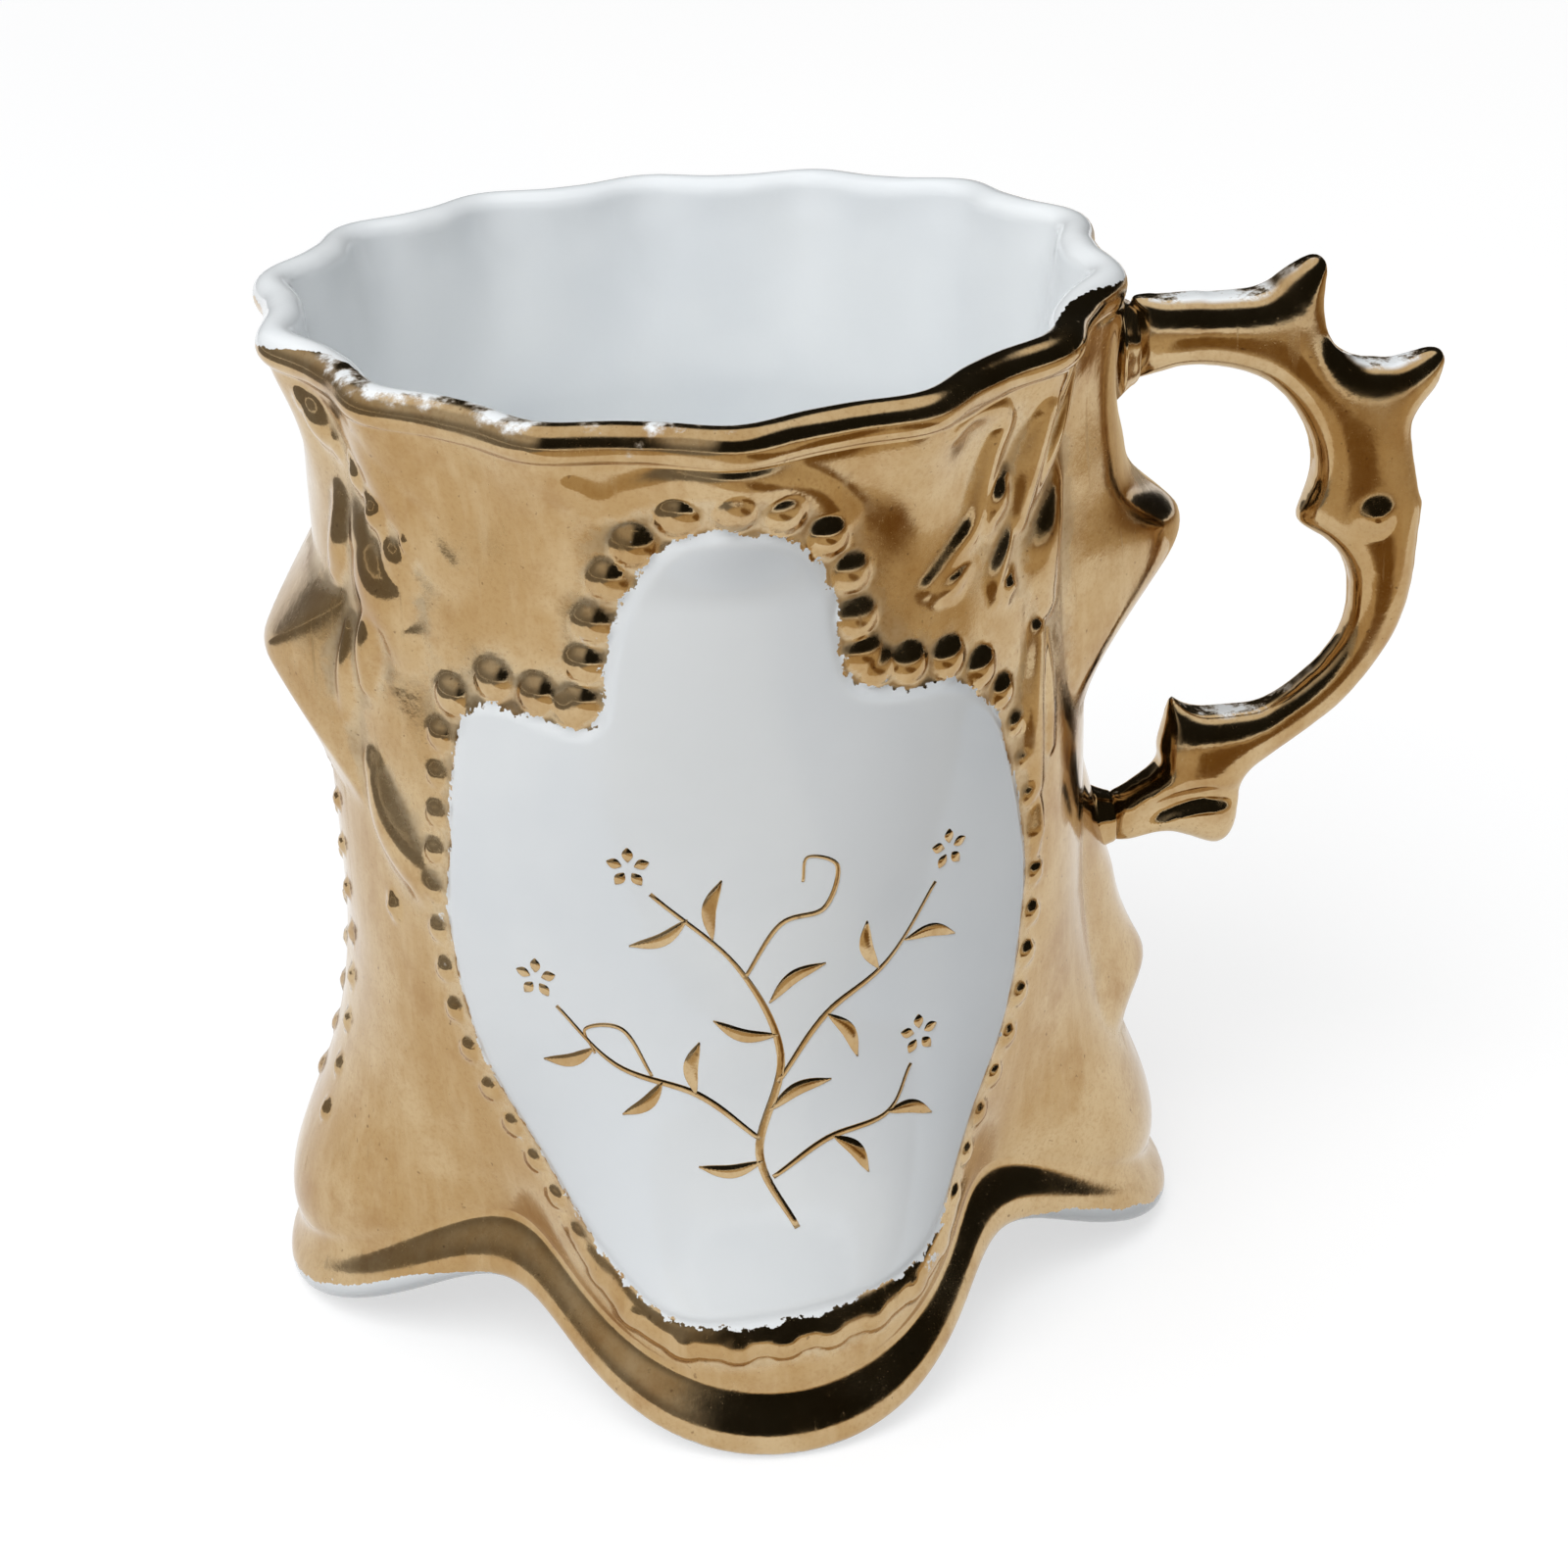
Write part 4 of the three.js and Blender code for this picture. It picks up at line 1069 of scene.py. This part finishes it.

# Lustre shows what stands round it, so the set has a dim screen about it, and a dark table about the white
# sheet that the cup stands on. Both glow with painted light and shade of a room, and are seen in mirror
# images only.
SCREEN_RADIUS = 1.5
SCREEN_BEND = 0.6
SCREEN_FADE = (1.7, 2.6)
SCREEN_LEFT = (-0.525, -1.05)
SCREEN_CLIMB = (0.2, 1.0)
SCREEN_DARK = (0.014, 0.014, 0.012, 1.0)
SCREEN_GREY = (0.26, 0.25, 0.24, 1.0)
SCREEN_PALE = (0.58, 0.56, 0.54, 1.0)
SHEET_EDGE = [
    (-0.19, 0.2), (-0.19, -0.15), (-0.02, -0.095), (0.05, -0.065), (0.22, -0.025), (0.22, 0.06),
    (0.08, 0.075), (0.0, 0.12),
]
TABLE_LEVEL = 0.0002
TABLE_SPREAD = 5.0
# Distances over which the table turns from tan to brown: painted shade of the light falling off away from
# the sheet
TABLE_SHADE = (0.16, 0.5)
TABLE_LEFT = (-0.10, -0.16)
TABLE_GRAIN = 0.2
BROWN_PATCH = (0.066, -0.062, 0.0)
BROWN_PATCH_SQUEEZE = (1.0, 0.45, 1.0)
BROWN_PATCH_EDGE = (0.046, 0.030)
TABLE_BROWN = (0.27, 0.15, 0.045, 1.0)
TABLE_TAN = (0.76, 0.62, 0.41, 1.0)
TABLE_DARK = (0.035, 0.03, 0.025, 1.0)


def mirror_only(obj):
    """Shows a piece of the stage in mirror images alone."""
    obj.visible_camera = False
    obj.visible_diffuse = False
    obj.visible_shadow = False


def show(tree, shader, color):
    """Makes a surface show a colour as it is, whatever light falls on it."""
    link(tree, color, shader.inputs["Emission Color"])
    shader.inputs["Emission Strength"].default_value = 1.0
    shader.inputs["Base Color"].default_value = BLACK
    shader.inputs["Specular IOR Level"].default_value = 0.0


def screen_material():
    """Painted light and shade of a dim room, glowing and seen in mirror images alone: dark, grey on the
    left and paler higher up there, fading into the white studio at its top.
    """
    material, tree, shader = new_material("dim_screen")
    place = split(tree, add(tree, "ShaderNodeTexCoord").outputs["Object"])
    leftward = remap(tree, place["X"], *SCREEN_LEFT)
    pale = mix_color(tree, remap(tree, place["Z"], *SCREEN_CLIMB), SCREEN_GREY, SCREEN_PALE)
    # Painted shade of the room: dark on the right, grey and paler on the left
    room_shade = mix_color(tree, leftward, SCREEN_DARK, pale)
    show(tree, shader, mix_color(tree, remap(tree, place["Z"], *SCREEN_FADE), room_shade, WHITE))
    return material


def table_material():
    """Tan top, turning brown farther out as painted shade of the light falling off the sheet, with a brown
    patch near the front right, greyer on the left.
    """
    material, tree, shader = new_material("dark_table")
    coords = add(tree, "ShaderNodeTexCoord").outputs["Object"]
    away = add(tree, "ShaderNodeVectorMath", operation="LENGTH")
    link(tree, coords, away.inputs[0])
    # Painted shade: tan near the white sheet, turning brown farther out
    shaded_wood = mix_color(tree, remap(tree, away.outputs["Value"], *TABLE_SHADE), TABLE_TAN, TABLE_BROWN)
    squeezed = add(tree, "ShaderNodeVectorMath", operation="MULTIPLY")
    link(tree, coords, squeezed.inputs[0])
    squeezed.inputs[1].default_value = BROWN_PATCH_SQUEEZE
    patch = add(tree, "ShaderNodeVectorMath", operation="DISTANCE")
    link(tree, squeezed.outputs["Vector"], patch.inputs[0])
    patch.inputs[1].default_value = BROWN_PATCH
    shaded_wood = mix_color(tree, remap(tree, patch.outputs["Value"], *BROWN_PATCH_EDGE), shaded_wood, TABLE_BROWN)
    shaded_wood = mix_color(tree, remap(tree, split(tree, coords)["X"], *TABLE_LEFT), shaded_wood, SCREEN_GREY)
    grain = mix_color(tree, noise(tree, 40.0, 4.0, 0.6, (0.2, 1.0, 1.0)), shaded_wood, TABLE_DARK)
    show(tree, shader, mix_color(tree, TABLE_GRAIN, shaded_wood, grain))
    return material


screen_rings = [circle(SCREEN_RADIUS, z) for z in (0.0, SCREEN_BEND, *SCREEN_FADE)]
mirror_only(band("room_screen", screen_rings, screen_material()))
near_edge = np.array([(x, y, TABLE_LEVEL) for x, y in SHEET_EDGE])
far_edge = near_edge * (TABLE_SPREAD, TABLE_SPREAD, 1.0)
corners = len(near_edge)
strip = [(i, i + 1, i + 1 + corners, i + corners) for i in range(corners - 1)]
mirror_only(stage_piece("dark_table", np.vstack([near_edge, far_edge]), strip, table_material()))

# Light of the studio: full from above, softer from the left and dim from the right
STUDIO_TOP = (0.80, 0.81, 0.82, 1.0)
STUDIO_LEFT = (0.50, 0.505, 0.515, 1.0)
STUDIO_RIGHT = (0.08, 0.083, 0.086, 1.0)
STUDIO_TURN = (-0.6, 0.6)
STUDIO_CLIMB = (0.35, 0.9)
LIGHT_AIM = 0.06


def build_world():
    """A white backdrop for what the camera and the lustre see, and a soft light from the left."""
    world = bpy.data.worlds.new("studio")
    bpy.context.scene.world = world
    world.use_nodes = True
    tree = world.node_tree
    tree.nodes.clear()
    way = split(tree, add(tree, "ShaderNodeTexCoord").outputs["Generated"])
    light = mix_color(tree, remap(tree, way["X"], *STUDIO_TURN), STUDIO_LEFT, STUDIO_RIGHT)
    light = mix_color(tree, remap(tree, way["Z"], *STUDIO_CLIMB), light, STUDIO_TOP)
    background = add(tree, "ShaderNodeBackground", Strength=1.0)
    link(tree, mix_color(tree, seeing_ray(tree), light, WHITE), background.inputs["Color"])
    output = add(tree, "ShaderNodeOutputWorld")
    link(tree, background.outputs["Background"], output.inputs["Surface"])


build_world()


def softbox(name, azimuth, elevation, distance, size, power):
    """A square light that faces the cup and that mirror images don't show."""
    a, e = math.radians(azimuth), math.radians(elevation)
    way = Vector((math.sin(a) * math.cos(e), -math.cos(a) * math.cos(e), math.sin(e)))
    light = bpy.data.lights.new(name, "AREA")
    light.shape = "SQUARE"
    light.size = size
    light.energy = power
    obj = bpy.data.objects.new(name, light)
    obj.location = AXIS + Vector((0.0, 0.0, LIGHT_AIM)) + way * distance
    obj.rotation_euler = way.to_track_quat("Z", "Y").to_euler()
    obj.visible_glossy = False
    bpy.context.scene.collection.objects.link(obj)


softbox("key_light", azimuth=-30.0, elevation=52.0, distance=1.0, size=0.7, power=6.0)


def build_camera():
    """The photograph's viewpoint: a long lens, above and a little left of the front, slightly rolled."""
    azimuth, elevation, roll = (math.radians(v) for v in (-5.5, 24.34, -2.79))
    distance = 0.300
    image, focal, aim_x, aim_y = 1600.0, 4152.5, 724.55, 793.18
    back = Vector((math.sin(azimuth) * math.cos(elevation), -math.cos(azimuth) * math.cos(elevation),
                   math.sin(elevation)))
    right = back.cross(Vector((0.0, 0.0, -1.0))).normalized()
    up = back.cross(right)
    turned = Matrix((right, up, back)).transposed() @ Matrix.Rotation(roll, 3, "Z")
    pan = math.atan((image / 2 - aim_x) / focal)
    tilt = math.atan((image / 2 - aim_y) / focal)
    aimed = turned @ Matrix.Rotation(-pan, 3, "Y") @ Matrix.Rotation(-tilt, 3, "X")
    camera = bpy.data.objects.new("photo_camera", bpy.data.cameras.new("photo_camera"))
    camera.data.sensor_width = 36.0
    camera.data.lens = 36.0 * focal / image
    camera.data.clip_start = 0.01
    place = AXIS + Vector((0.0, 0.0, CUP_HEIGHT / 2 * MM)) + back * distance
    camera.matrix_world = Matrix.Translation(place) @ aimed.to_4x4()
    bpy.context.scene.collection.objects.link(camera)
    bpy.context.scene.camera = camera


build_camera()
bpy.context.scene.view_settings.view_transform = "Standard"
